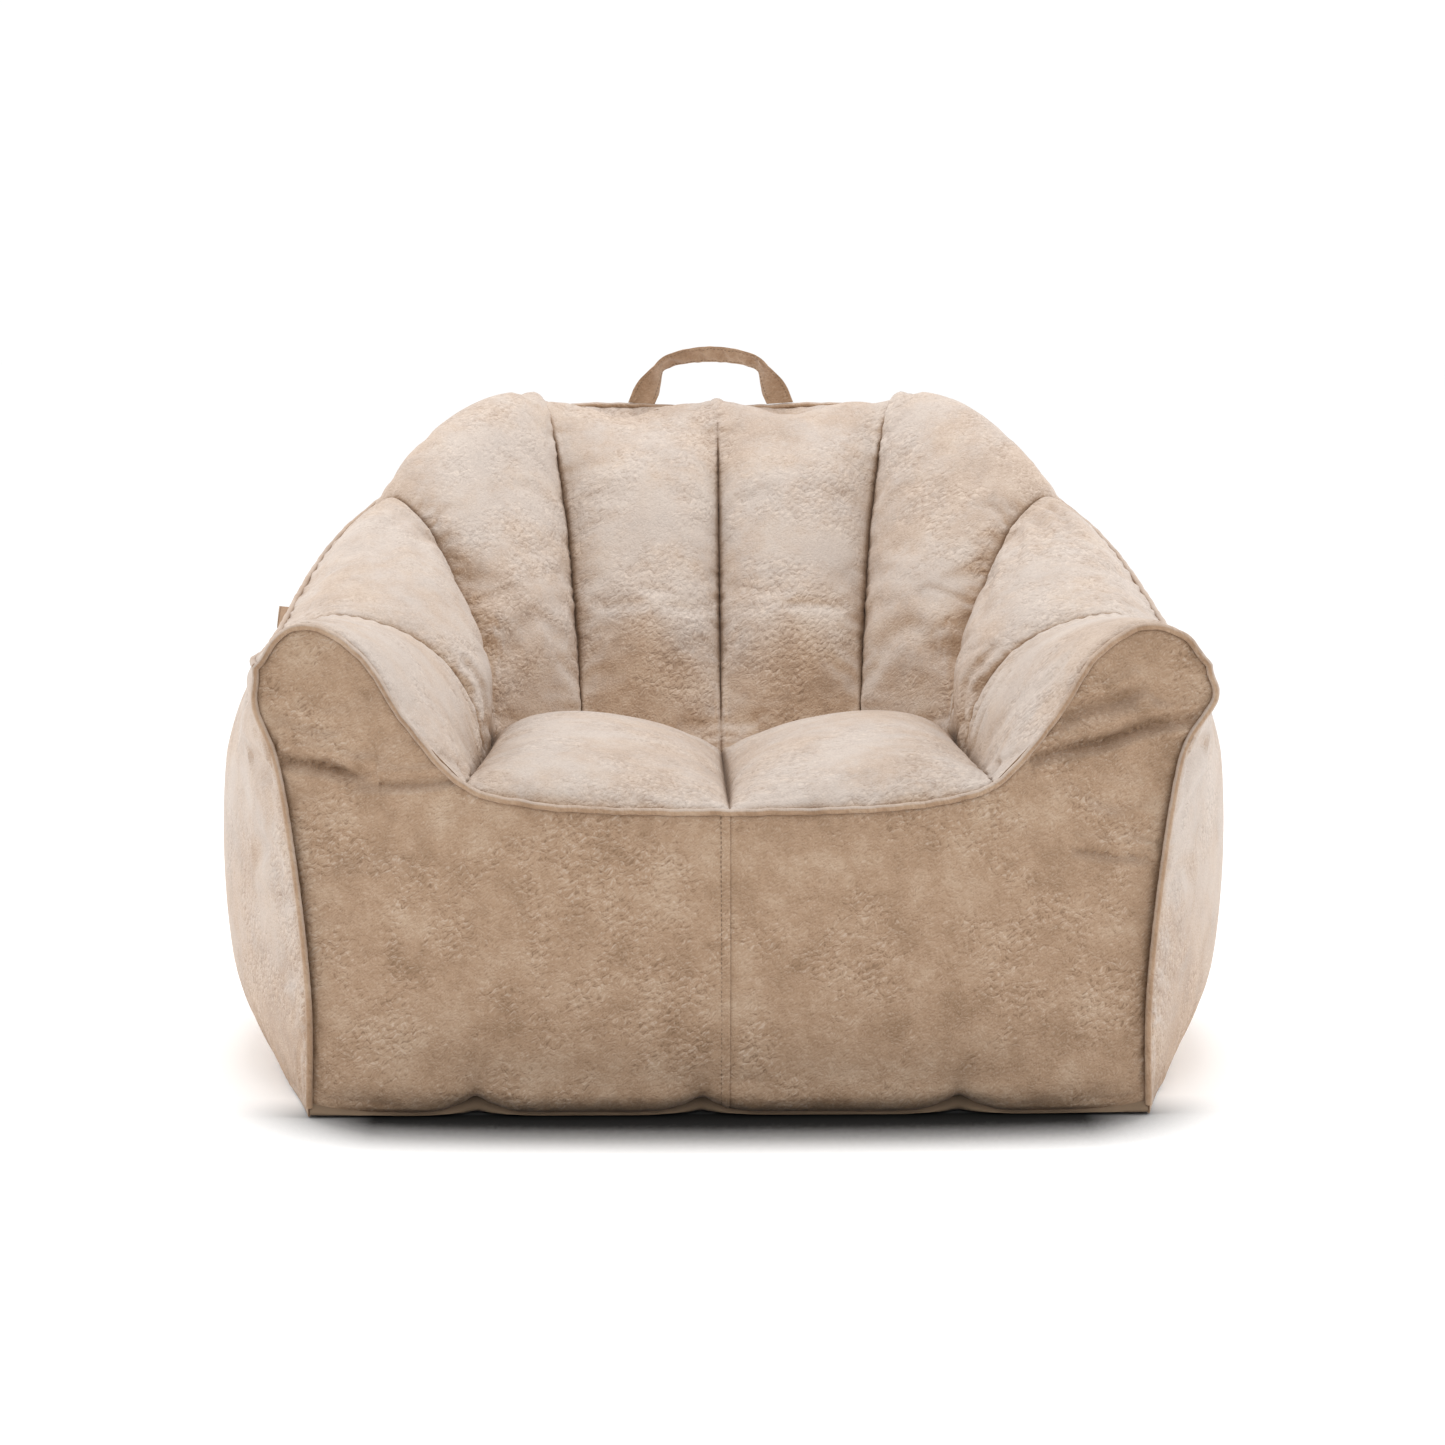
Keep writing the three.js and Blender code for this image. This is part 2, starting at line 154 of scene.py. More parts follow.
# Folds pressed into the panels: a path, its depth and its width, in mm. On the front the path is x and z.
# On a channel it is the place across it and up it, from 0 to 1.
FOLDS = {
    "front_panel_left": [
        ([(-430, 344), (-406, 341), (-382, 338), (-357, 331), (-332, 333)], 9.5, 6),
        ([(-364, 318), (-335, 322), (-293, 325), (-260, 329)], 6, 5),
        ([(-435, 392), (-405, 378), (-368, 372)], 3, 6),
        ([(-398, 262), (-350, 256), (-300, 262)], 1.5, 12),
    ],
    "front_panel_right": [
        ([(314, 382), (336, 392), (369, 399), (397, 413)], 7, 6.5),
        ([(283, 346), (327, 357), (360, 362), (397, 374), (438, 380)], 9.5, 6),
        ([(325, 259), (361, 253), (409, 248)], 4.5, 4.5),
        ([(341, 308), (379, 302), (413, 307)], 2.5, 7),
    ],
    "side_panel_left": [
        ([(0.97, 0.30), (0.90, 0.27), (0.80, 0.28)], 6, 12),
        ([(0.95, 0.47), (0.86, 0.44), (0.76, 0.46)], 4, 13),
        ([(0.96, 0.13), (0.86, 0.10), (0.74, 0.13)], 4, 11),
    ],
    "side_panel_right": [
        ([(0.98, 0.28), (0.90, 0.24), (0.80, 0.25)], 6, 11),
        ([(0.98, 0.50), (0.88, 0.47), (0.78, 0.50)], 3.5, 12),
    ],
    "arm_channel_panel_left": [
        ([(0.12, 0.06), (0.14, 0.22), (0.10, 0.40)], 5, 6),
        ([(0.30, 0.03), (0.33, 0.16), (0.30, 0.28)], 4, 7),
        ([(0.86, 0.02), (0.74, 0.08), (0.68, 0.15)], 6, 5),
    ],
    "arm_channel_panel_right": [
        ([(0.10, 0.05), (0.15, 0.24), (0.12, 0.44)], 5, 6),
        ([(0.26, 0.03), (0.30, 0.20), (0.28, 0.36)], 4, 6),
        ([(0.84, 0.02), (0.75, 0.08)], 5, 6),
        ([(0.70, 0.30), (0.78, 0.40), (0.80, 0.52)], 3, 8),
    ],
    "wing_channel_panel_left": [
        ([(0.10, 0.62), (0.35, 0.66), (0.60, 0.62)], 3, 9),
        ([(0.10, 0.50), (0.30, 0.53), (0.55, 0.50)], 3, 9),
        ([(0.90, 0.05), (0.85, 0.18), (0.88, 0.34)], 4, 6),
    ],
    "wing_channel_panel_right": [
        ([(0.06, 0.70), (0.22, 0.72), (0.40, 0.68)], 4, 7),
        ([(0.06, 0.60), (0.30, 0.62), (0.55, 0.58)], 3, 8),
        ([(0.08, 0.50), (0.32, 0.51), (0.60, 0.46)], 3, 9),
        ([(0.10, 0.38), (0.35, 0.40), (0.62, 0.36)], 2.5, 10),
        ([(0.90, 0.05), (0.86, 0.22), (0.90, 0.40)], 4, 6),
    ],
    "shoulder_channel_panel_left": [([(0.20, 0.20), (0.45, 0.24), (0.75, 0.18)], 3, 12)],
    "shoulder_channel_panel_right": [
        ([(0.85, 0.82), (0.60, 0.78), (0.35, 0.80)], 3, 10),
        ([(0.20, 0.18), (0.50, 0.22), (0.80, 0.16)], 3, 12),
    ],
}


# ---- Curves and surfaces --------------------------------------------------------------------
def spline(points, at):
    """A centripetal Catmull-Rom curve through points, at places from 0 to their number less one."""
    p = np.asarray(points, float)
    p = np.vstack([2 * p[0] - p[1], p, 2 * p[-1] - p[-2]])
    at = np.atleast_1d(np.asarray(at, float))
    k = np.clip(at.astype(int), 0, len(p) - 4)
    w = (at - k)[:, None]
    a, b, c, d = p[k], p[k + 1], p[k + 2], p[k + 3]
    d0 = np.sqrt(np.linalg.norm(b - a, axis=1))[:, None] + 1e-9
    d1 = np.sqrt(np.linalg.norm(c - b, axis=1))[:, None] + 1e-9
    d2 = np.sqrt(np.linalg.norm(d - c, axis=1))[:, None] + 1e-9
    m1 = ((b - a) / d0 - (c - a) / (d0 + d1) + (c - b) / d1) * d1
    m2 = ((c - b) / d1 - (d - b) / (d1 + d2) + (d - c) / d2) * d1
    return b + w * m1 + w**2 * (3 * (c - b) - 2 * m1 - m2) + w**3 * (2 * (b - c) + m1 + m2)


MIRROR = np.array([-1, 1, 1])
ALONG = np.concatenate([STATIONS[1:2] * MIRROR, STATIONS])  # station -1 to station 4


def wall(j, t):
    """Place j of the sections, at stations t."""
    return spline(ALONG[:, j], np.asarray(t) + 1)


def sections(first, last, t, v):
    """The wall's surface at every t and v, v counting from place first. The result is a grid of points."""
    rows = np.array([wall(j, t) for j in range(first, last + 1)])
    return np.array([spline(rows[:, i], v) for i in range(len(t))])


def normals(grid):
    """Unit normals of a grid of points, out of the side that its first axis crossed with its second faces."""
    n = np.cross(np.gradient(grid, axis=0), np.gradient(grid, axis=1))
    return n / (np.linalg.norm(n, axis=2, keepdims=True) + 1e-12)


def smoothstep(x):
    x = np.clip(x, 0, 1)
    return x * x * (3 - 2 * x)


def puff_at(puff, v):
    """How far a channel stands out at every v, eased between the five places of its puff."""
    j = np.minimum(v.astype(int), len(puff) - 2)
    return puff[j] + (puff[j + 1] - puff[j]) * smoothstep(v - j)


def arch(s, power):
    """0 at both ends of s from 0 to 1, and 1 halfway. A power under 1 makes it fuller."""
    return np.clip(4 * s * (1 - s), 0, 1) ** power


def channel_surface(name, s, v, out=0.0, side=1):
    """A channel's surface at every s across it and v up it."""
    grid = sections(JOINT, RIM, CHANNELS[name] + s, v)
    height = arch(s, 0.55)[:, None] * puff_at(PUFF[name], v)[None, :]
    if name == "back":
        middle, depth = CREST_DIP[side]
        drop = np.exp(-(((v - 3.4) / 0.6) ** 2)) * np.clip((4 - v) / 0.16, 0, 1)
        height -= depth * np.exp(-(((s - middle) / 0.17) ** 2))[:, None] * drop[None, :]
    return grid + normals(grid) * (height + out)[..., None]


def outer_surface(t, v, out=0.0):
    """A panel round the outside: t runs over its two stations, v from the rim seam (0) to the foot (3)."""
    grid = sections(RIM, FOOT, t, v)
    height = arch((t - t[0]) / 2, 0.5)[:, None] * np.sin(np.pi * np.clip(v, 0, 3) / 3)[None, :] ** 0.7
    return grid + normals(grid) * (OUTER_PUFF * height + out)[..., None]


SEAT_FRONT = MM * np.array([[0, -401, 298], [115, -400, 300], [190, -398, 306]])
FRONT_EDGE = np.vstack([SEAT_FRONT, STATIONS[4, JOINT:RIM + 1]])
SEAT_CORNER = 3.0  # its place on the front edge
CORNER_SEAM = STATIONS[4, RIM:]
HEM_DIMPLES = [-0.243, -0.027, 0.220]  # where the hem of the front is drawn up


def dimple(x):
    """1 where the hem is drawn up, 0 where the front bulges down to the floor."""
    wide = sum(np.exp(-(((x - at) / 0.026) ** 2)) for at in HEM_DIMPLES)
    sharp = sum(np.exp(-(((x - at) / 0.008) ** 2)) for at in HEM_DIMPLES)
    return 0.75 * wide + 0.45 * sharp


def front_surface(a, b, side):
    """Half the front panel: a from the middle (0) to its corner (7), b from the hem (0) to the top (1)."""
    top = spline(FRONT_EDGE, a)[:, None, :]
    corner = spline(CORNER_SEAM, 3 * (1 - b))[None, :, :]
    foot_width, top_width = CORNER_SEAM[-1, 0], CORNER_SEAM[0, 0]
    across = (a / 7)[:, None]
    up = b[None, :]
    foot_x = top[..., 0] * foot_width / top_width
    x = foot_x + (top[..., 0] - foot_x) * up
    x = x + across**3 * (corner[..., 0] - foot_width - (top_width - foot_width) * up)
    y = FRONT_FOOT_Y + (top[..., 1] - FRONT_FOOT_Y) * up
    free = 1 - across**6
    y = y - FRONT_BELLY * np.sin(np.pi * up**0.62) ** 0.8 * free
    drawn = dimple(side * x) * np.exp(-((up / 0.085) ** 2))
    y = y + 0.017 * drawn - 0.010 * np.exp(-(((up - 0.05) / 0.05) ** 2)) * free
    z = HEM_HEIGHT + (top[..., 2] - HEM_HEIGHT) * up + 0.013 * drawn * np.exp(-up / 0.03) + 0 * x
    z = z + 0.010 * across**10 * (1 - up) ** 8
    return np.stack([x, y, z], axis=2)


def bulged(points):
    """Points moved by the bulges."""
    points = np.array(points, float)
    for place, push, reach in BULGES:
        near = np.exp(-(((points - place) ** 2).sum(axis=-1, keepdims=True) / reach**2))
        points = points + near * np.array(push)
    return points


def seat_surface(a, b):
    """Half the seat: a from the middle to the side (0 to 1), b from the front to the back (0 to 1)."""
    back_corner = 1.75
    front = spline(FRONT_EDGE, a * SEAT_CORNER)
    back = wall(JOINT, a * back_corner)
    side = wall(JOINT, 4 + (back_corner - 4) * b)
    middle = front[0] + (back[0] - front[0]) * b[:, None]
    a2, b2 = a[:, None, None], b[None, :, None]
    across = middle[None] * (1 - a2) + side[None] * a2
    along = front[:, None] * (1 - b2) + back[:, None] * b2
    corners = (front[0] * (1 - a2) + front[-1] * a2) * (1 - b2) + (back[0] * (1 - a2) + back[-1] * a2) * b2
    grid = across + along - corners
    crown = (np.sin(np.pi * a)[:, None].clip(0) ** 0.5) * (np.sin(np.pi * b)[None].clip(0) ** 0.42)
    grid[..., 2] += CROWN * crown
    return grid


# ---- Meshes ---------------------------------------------------------------------------------
def new_piece(name, vertices, faces, material, body="body"):
    """A mesh piece that rides on one of the frame's bodies."""
    mesh = bpy.data.meshes.new(name)
    mesh.from_pydata([tuple(p) for p in vertices], [], faces)
    mesh.update()
    mesh.set_sharp_from_angle(angle=math.radians(55))
    piece = bpy.data.objects.new(name, mesh)
    bpy.context.collection.objects.link(piece)
    mesh.materials.append(material)
    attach(piece, body)
    return piece


def grid_faces(nu, nv, start=0, flip=False):
    """The quads of a grid of nu by nv points, whose first point has the number start."""
    i, j = np.meshgrid(np.arange(nu - 1), np.arange(nv - 1), indexing="ij")
    a = start + i * nv + j
    quads = np.stack([a, a + nv, a + nv + 1, a + 1], axis=-1).reshape(-1, 4)
    return quads[:, ::-1] if flip else quads


def shell(grid, thickness, flip=False):
    """A closed shell under a grid: its vertices and faces. flip is for a grid whose normals point inwards."""
    nu, nv = grid.shape[:2]
    n = normals(grid) * (-1 if flip else 1)
    vertices = np.vstack([grid.reshape(-1, 3), (grid - thickness * n).reshape(-1, 3)])
    faces = [grid_faces(nu, nv, 0, flip), grid_faces(nu, nv, nu * nv, not flip)]
    i, j = np.arange(nu), np.arange(nv)
    loop = np.concatenate([i * nv, (nu - 1) * nv + j[1:], (i * nv + nv - 1)[::-1][1:], j[::-1][1:-1]])
    nxt = np.roll(loop, -1)
    walls = np.stack([loop, loop + nu * nv, nxt + nu * nv, nxt], axis=1)
    faces.append(walls[:, ::-1] if flip else walls)
    return vertices, np.vstack(faces).tolist()


def finer(grid, n=2):
    """The grid with n times as many cells, smoothly between its points."""
    def along(g):
        at = np.linspace(0, len(g) - 1, (len(g) - 1) * n + 1)
        p = np.concatenate([2 * g[:1] - g[1:2], g, 2 * g[-1:] - g[-2:-1]])
        k = np.minimum(at.astype(int), len(g) - 2)
        w = (at - k)[:, None, None]
        a, b, c, d = p[k], p[k + 1], p[k + 2], p[k + 3]
        m1, m2 = (c - a) / 2, (d - b) / 2
        return b + w * m1 + w**2 * (3 * (c - b) - 2 * m1 - m2) + w**3 * (2 * (b - c) + m1 + m2)
    return along(along(grid).transpose(1, 0, 2)).transpose(1, 0, 2)


def tube(points, radius, around=12):
    """A round tube along points, closed at its ends: its vertices and faces."""
    p = np.asarray(points, float)
    tangent = np.gradient(p, axis=0)
    tangent /= np.linalg.norm(tangent, axis=1, keepdims=True)
    side = np.cross(tangent[0], [0, 0, 1.0] if abs(tangent[0, 2]) < 0.9 else [1.0, 0, 0])
    rings = []
    angle = np.linspace(0, 2 * np.pi, around, endpoint=False)[:, None]
    radii = np.broadcast_to(radius, len(p))
    for q, t, r in zip(p, tangent, radii):
        side = side - t * np.dot(side, t)
        side /= np.linalg.norm(side)
        up = np.cross(t, side)
        rings.append(q + r * (np.cos(angle) * side + np.sin(angle) * up))
    vertices = np.vstack(rings + [p[:1], p[-1:]])
    n = len(p) * around
    faces = []
    for i in range(len(p) - 1):
        for j in range(around):
            k = (j + 1) % around
            faces.append([i * around + j, i * around + k, (i + 1) * around + k, (i + 1) * around + j])
    for j in range(around):
        k = (j + 1) % around
        faces.append([n, k, j])
        faces.append([n + 1, n - around + j, n - around + k])
    return vertices, faces


def press_folds(name, grid, outward_side):
    """The grid with the folds of its panel pressed in, each between two soft lips."""
    n = normals(grid) * outward_side
    flat = name.startswith("front")
    height = np.zeros(grid.shape[:2])
    for path, depth, width in FOLDS.get(name, []):
        path = np.array(path, float)
        if flat:
            line = np.stack([path[:, 0] * MM, path[:, 1] * 0, path[:, 1] * MM], axis=1)
        else:
            at = np.rint(path * (np.array(grid.shape[:2]) - 1)).astype(int)
            line = grid[at[:, 0], at[:, 1]]
        line = spline(line, np.linspace(0, len(line) - 1, 40))
        points = grid * ([1, 0, 1] if flat else [1, 1, 1])
        gap = np.linalg.norm(points[:, :, None] - line, axis=3)
        nearest = gap.argmin(axis=2)
        gap = gap.min(axis=2) / (width * MM)
        taper = (1 - (2 * nearest / 39 - 1) ** 4) ** 0.5
        height += depth * MM * taper * (0.45 * np.exp(-((gap - 2.1) / 1.1) ** 2) - np.exp(-gap**2))
    return grid + n * height[..., None]


def gathered(grid, outward_side, last_seam, depth=0.0012, reach=0.013):
    """The grid standing up in a soft lip along its two long seams, with the gathers that their stitches make.

    last_seam is False where the second of them is piped, which leaves the cloth level there."""
    along = np.linalg.norm(np.diff(grid, axis=1, prepend=grid[:, :1]), axis=2).cumsum(axis=1)
    height = np.zeros(grid.shape[:2])
    for edge, shift in ((0, 0.3), (-1, 2.1)):
        away = np.linalg.norm(grid - grid[edge], axis=2)
        place = along[edge] + 0.25 * away
        ripple = np.sin(place / 0.0023 + 2.2 * np.sin(place / 0.019 + shift) + shift)
        strength = 0.55 + 0.45 * np.sin(place / 0.031 + 4 * shift)
        height += ripple * strength * np.exp(-away / reach) * smoothstep(away / 0.005)
        if edge == 0 or last_seam:
            height += 1.5 * (1 - np.exp(-((away / 0.0026) ** 2))) * np.exp(-away / 0.011)
    return grid + normals(grid) * (outward_side * depth * height)[..., None]


def raise_edge(grid, edge, wide, high, outward_side):
    """The grid with a flat band of seam allowance showing along one edge, given as an index."""
    gap = np.linalg.norm(grid - grid[edge], axis=2)
    band = high * (1 - smoothstep((gap - wide) / 0.002))
    return grid + normals(grid) * (outward_side * band)[..., None]


def loft(rings):
    """A closed solid through rings of points, with a point at the middle of each end."""
    rings = np.asarray(rings, float)
    count, around = rings.shape[:2]
    vertices = np.vstack([rings.reshape(-1, 3), rings[0].mean(0)[None], rings[-1].mean(0)[None]])
    faces = []
    for j in range(around):
        k = (j + 1) % around
        for i in range(count - 1):
            faces.append([i * around + j, i * around + k, (i + 1) * around + k, (i + 1) * around + j])
        faces.append([count * around, k, j])
        faces.append([count * around + 1, (count - 1) * around + j, (count - 1) * around + k])
    return vertices, faces


def outward(piece):
    """Turns a closed piece's faces outwards."""
    edit = bmesh.new()
    edit.from_mesh(piece.data)
    bmesh.ops.recalc_face_normals(edit, faces=edit.faces)
    edit.to_mesh(piece.data)
    edit.free()


def stitches(path, facing, pitch=0.0046, length=0.0032, radius=0.00042):
    """Short raised stitches along a path. facing is the outward direction for each point or for all."""
    facing = resample(path, pitch, np.broadcast_to(facing, np.shape(path)))
    path = resample(path, pitch)
    tangent = np.gradient(path, axis=0)
    tangent /= np.linalg.norm(tangent, axis=1, keepdims=True)
    vertices, faces, start = [], [], 0
    profile = ((-0.5, 0.15), (-0.36, 0.8), (0, 1.0), (0.36, 0.8), (0.5, 0.15))
    angle = (np.arange(6) * math.pi / 3)[:, None]
    for p, t, n in zip(path, tangent, facing):
        n = n - t * np.dot(n, t)
        n = n / np.linalg.norm(n)
        ring = np.cos(angle) * np.cross(t, n) + np.sin(angle) * n
        v, f = loft([p + t * length * at + radius * (wide * ring + (wide - 0.6) * n) for at, wide in profile])
        vertices.append(v)
        faces += [[start + i for i in face] for face in f]
        start += len(v)
    return np.vstack(vertices), faces


def resample(points, step, values=None):
    """Points at an even step along a line of points, or the values that go with them."""
    p = np.asarray(points, float)
    values = p if values is None else values
    run = np.concatenate([[0], np.cumsum(np.linalg.norm(np.diff(p, axis=0), axis=1))])
    at = np.linspace(0, run[-1], max(2, int(round(run[-1] / step)) + 1))
    return np.stack([np.interp(at, run, values[:, i]) for i in range(3)], axis=1)


# ---- Materials ------------------------------------------------------------------------------
class Nodes:
    """A material's node tree, with short calls for the nodes used here."""

    def __init__(self, name):
        self.material = bpy.data.materials.new(name)
        self.material.use_nodes = True
        self.tree = self.material.node_tree
        self.shader = self.tree.nodes["Principled BSDF"]

    def add(self, kind, values=None, **settings):
        """A new node. values holds a number or a link for some of its inputs."""
        node = self.tree.nodes.new(kind)
        for key, value in settings.items():
            setattr(node, key, value)
        for key, value in (values or {}).items():
            if isinstance(value, bpy.types.NodeSocket):
                self.tree.links.new(value, node.inputs[key])
            else:
                node.inputs[key].default_value = value
        return node

    def place(self, scale=(1, 1, 1)):
        at = self.add("ShaderNodeTexCoord").outputs["Object"]
        return self.add("ShaderNodeMapping", {"Vector": at, "Scale": scale}).outputs["Vector"]

    def noise(self, at, scale, detail=3.0, rough=0.5, warp=0.0):
        values = {"Vector": at, "Scale": scale, "Detail": detail, "Roughness": rough, "Distortion": warp}
        return self.add("ShaderNodeTexNoise", values).outputs["Fac"]

    def ramp(self, factor, stops):
        node = self.add("ShaderNodeValToRGB", {"Fac": factor})
        while len(node.color_ramp.elements) < len(stops):
            node.color_ramp.elements.new(0.5)
        for element, (place, colour) in zip(node.color_ramp.elements, stops):
            element.position = place
            element.color = (*colour, 1)
        return node.outputs["Color"]

    def math(self, operation, a, b=0.0, c=0.0):
        return self.add("ShaderNodeMath", {0: a, 1: b, 2: c}, operation=operation).outputs[0]

    def fit(self, value, low, high, to_low=0.0, to_high=1.0, shape="SMOOTHSTEP"):
        values = {"Value": value, "From Min": low, "From Max": high, "To Min": to_low, "To Max": to_high}
        return self.add("ShaderNodeMapRange", values, interpolation_type=shape).outputs["Result"]

    def mix(self, factor, a, b, blend="MIX"):
        node = self.add("ShaderNodeMix", data_type="RGBA", blend_type=blend)
        for socket, value in zip((node.inputs[0], node.inputs[6], node.inputs[7]), (factor, a, b)):
            if isinstance(value, bpy.types.NodeSocket):
                self.tree.links.new(value, socket)
            elif hasattr(value, "__len__"):
                socket.default_value = (*value, 1)
            else:
                socket.default_value = value
        return node.outputs[2]

    def bump(self, height, strength, distance):
        values = {"Height": height, "Strength": strength, "Distance": distance}
        node = self.add("ShaderNodeBump", values)
        self.tree.links.new(node.outputs["Normal"], self.shader.inputs["Normal"])

    def set(self, **values):
        for key, value in values.items():
            socket = self.shader.inputs[key.replace("_", " ")]
            if isinstance(value, bpy.types.NodeSocket):
                self.tree.links.new(value, socket)
            else:
                socket.default_value = value


def suede(name, tint=(1, 1, 1), turn=0.7, crackle=1.0, pale=0.62):
    """Suede-look cloth: clouded tan, with a pebbled grain in a crackle whose relief is also painted into the
    colour as light and shade.

    turn leans the grain, crackle is how strong the grain's painted light and shade are, and pale is how much
    painted light makes the cloth paler where it faces the open sky, the sides or the back."""
    n = Nodes(name)
    at = n.place()

    def tinted(colour):
        return tuple(np.array(colour) * np.array(tint))

    def moved(vector, by, operation="ADD"):
        return n.add("ShaderNodeVectorMath", {0: vector, 1: by}, operation=operation).outputs[0]

    wobble = n.add("ShaderNodeTexNoise", {"Vector": at, "Scale": 75, "Detail": 2}).outputs["Color"]
    shift = moved(wobble, (0.009, 0.009, 0.009), "MULTIPLY")
    patch = n.fit(n.noise(at, 11, 4, 0.62, 0.7), 0.43, 0.60, 0.12, 1.0)

    def relief(move):
        """Height of the grain at a place moved a little: round pebbles in patches, finer ones all over."""
        leaning = {"Vector": moved(at, move), "Rotation": (0.35, turn, 0.2), "Scale": (1, 1.2, 1.9)}
        leaning = n.add("ShaderNodeMapping", leaning, vector_type="TEXTURE").outputs["Vector"]
        here = moved(leaning, shift)
        pebbles = n.add("ShaderNodeTexVoronoi", {"Vector": here, "Scale": 215}).outputs["Distance"]
        small = n.add("ShaderNodeTexVoronoi", {"Vector": here, "Scale": 560}).outputs["Distance"]
        height = n.math("MULTIPLY", n.math("SUBTRACT", 0.9, pebbles), patch)
        return n.math("ADD", height, n.math("MULTIPLY", n.math("SUBTRACT", 0.8, small), 0.36))

    height = relief((0, 0, 0))
    # Painted light on the grain: the relief's height here less its height a little above, which lights each
    # pebble's upper side and shades its lower side in the colour.
    lit = n.math("SUBTRACT", height, relief((0.0004, 0, 0.0009)))
    cloud = n.noise(at, 15, 9, 0.76)
    colour = n.ramp(cloud, list(zip((0.36, 0.5, 0.66), map(tinted, CLOUDS))))
    # Painted light: the cloth turns paler where it faces up, the sides or the back and is open to its
    # surroundings, as if lit there by the lamps.
    facing = n.add("ShaderNodeSeparateXYZ", {0: n.add("ShaderNodeNewGeometry").outputs["Normal"]}).outputs
    open_side = n.math("MAXIMUM", facing["Z"], 0.0)
    open_side = n.math("MULTIPLY_ADD", n.math("ABSOLUTE", facing["X"]), 0.72, open_side)
    open_side = n.math("MULTIPLY_ADD", n.math("MAXIMUM", facing["Y"], 0.0), 0.66, open_side)
    sheltered = n.add("ShaderNodeAmbientOcclusion", {"Distance": 0.30}, samples=4).outputs["AO"]
    blotches = n.fit(n.noise(at, 8, 9, 0.74), 0.37, 0.60, 0.62, 1.12)
    painted_light_mask = n.fit(n.math("MULTIPLY", open_side, sheltered), 0.15, 0.68, 0.0, pale)
    painted_light_mask = n.math("MULTIPLY", painted_light_mask, blotches)
    colour = n.mix(painted_light_mask, colour, tinted(PAINTED_LIGHT_TINT))
    # Painted shade on the grain's lower sides and painted highlight on its upper sides, the shade weaker where
    # the cloth is already painted pale.
    grain_shade_mask = n.math("MULTIPLY", n.fit(lit, -0.22, 0.0, crackle, 0.0), n.fit(painted_light_mask, 0.0, 0.62, 0.60, 0.30))
    colour = n.mix(grain_shade_mask, colour, tinted(GRAIN_PAINTED_SHADE))
    colour = n.mix(n.fit(lit, 0.0, 0.24, 0.0, 0.38 * crackle), colour, tinted(GRAIN_PAINTED_HIGHLIGHT))
    # Painted shade in creases and seams, where a short ambient occlusion finds the cloth hemmed in.
    shade = n.add("ShaderNodeAmbientOcclusion", {"Distance": 0.014}, samples=4).outputs["AO"]
    colour = n.mix(n.fit(shade, 0.25, 0.80, 0.75, 0.0), colour, tinted(CREASE_PAINTED_SHADE))
    n.set(Base_Color=colour, Roughness=n.fit(cloud, 0.35, 0.65, 0.62, 0.80))
    n.set(Specular_IOR_Level=0.18, Sheen_Weight=0.10, Sheen_Roughness=0.5, Sheen_Tint=(1.0, 0.98, 0.96, 1))
    n.bump(height, 0.9, 0.0009)
    return n.material


def woven(name, colour, threads, roughness=0.85):
    """Plain woven cloth: over-and-under threads, with some thicker than others."""
    n = Nodes(name)
    at = n.place((threads, threads, threads))
    parts = n.add("ShaderNodeSeparateXYZ", {"Vector": at}).outputs
    warp = n.math("SINE", n.math("MULTIPLY", parts["X"], 2 * math.pi))
    weft = n.math("SINE", n.math("MULTIPLY", n.math("ADD", parts["Y"], parts["Z"]), 2 * math.pi))
    weave = n.math("ADD", n.math("MULTIPLY", n.math("MULTIPLY", warp, weft), 0.5), 0.5)
    slub = n.noise(n.place(), 55, 4, 0.6)
    base = np.array(colour)
    shade = n.mix(weave, tuple(base * 0.72), tuple(np.minimum(base * 1.15, 1)))
    n.set(Base_Color=n.mix(n.fit(slub, 0.3, 0.7, 0, 0.3), shade, tuple(base * 0.6)), Roughness=roughness)
    n.set(Sheen_Weight=0.06, Sheen_Roughness=0.5, Specular_IOR_Level=0.2)
    n.bump(n.math("ADD", weave, slub), 0.5, 0.0003)
    return n.material


def metal(name):
    """Dull zip metal, brushed and a little scratched."""
    n = Nodes(name)
    marks = n.noise(n.place((1, 12, 1)), 300, 4, 0.6)
    n.set(Base_Color=n.ramp(marks, [(0.35, (0.33, 0.33, 0.34)), (0.7, (0.56, 0.56, 0.57))]))
    n.set(Metallic=1.0, Roughness=n.fit(marks, 0.3, 0.7, 0.28, 0.5))
    n.bump(marks, 0.2, 0.0001)
    return n.material


def nylon(name):
    """Moulded nylon, faintly mottled."""
    n = Nodes(name)
    flecks = n.noise(n.place(), 400, 3, 0.6)
    n.set(Base_Color=n.ramp(flecks, [(0.3, (0.10, 0.075, 0.055)), (0.7, (0.17, 0.13, 0.10))]), Roughness=0.45)
    n.bump(flecks, 0.15, 0.0001)
    return n.material


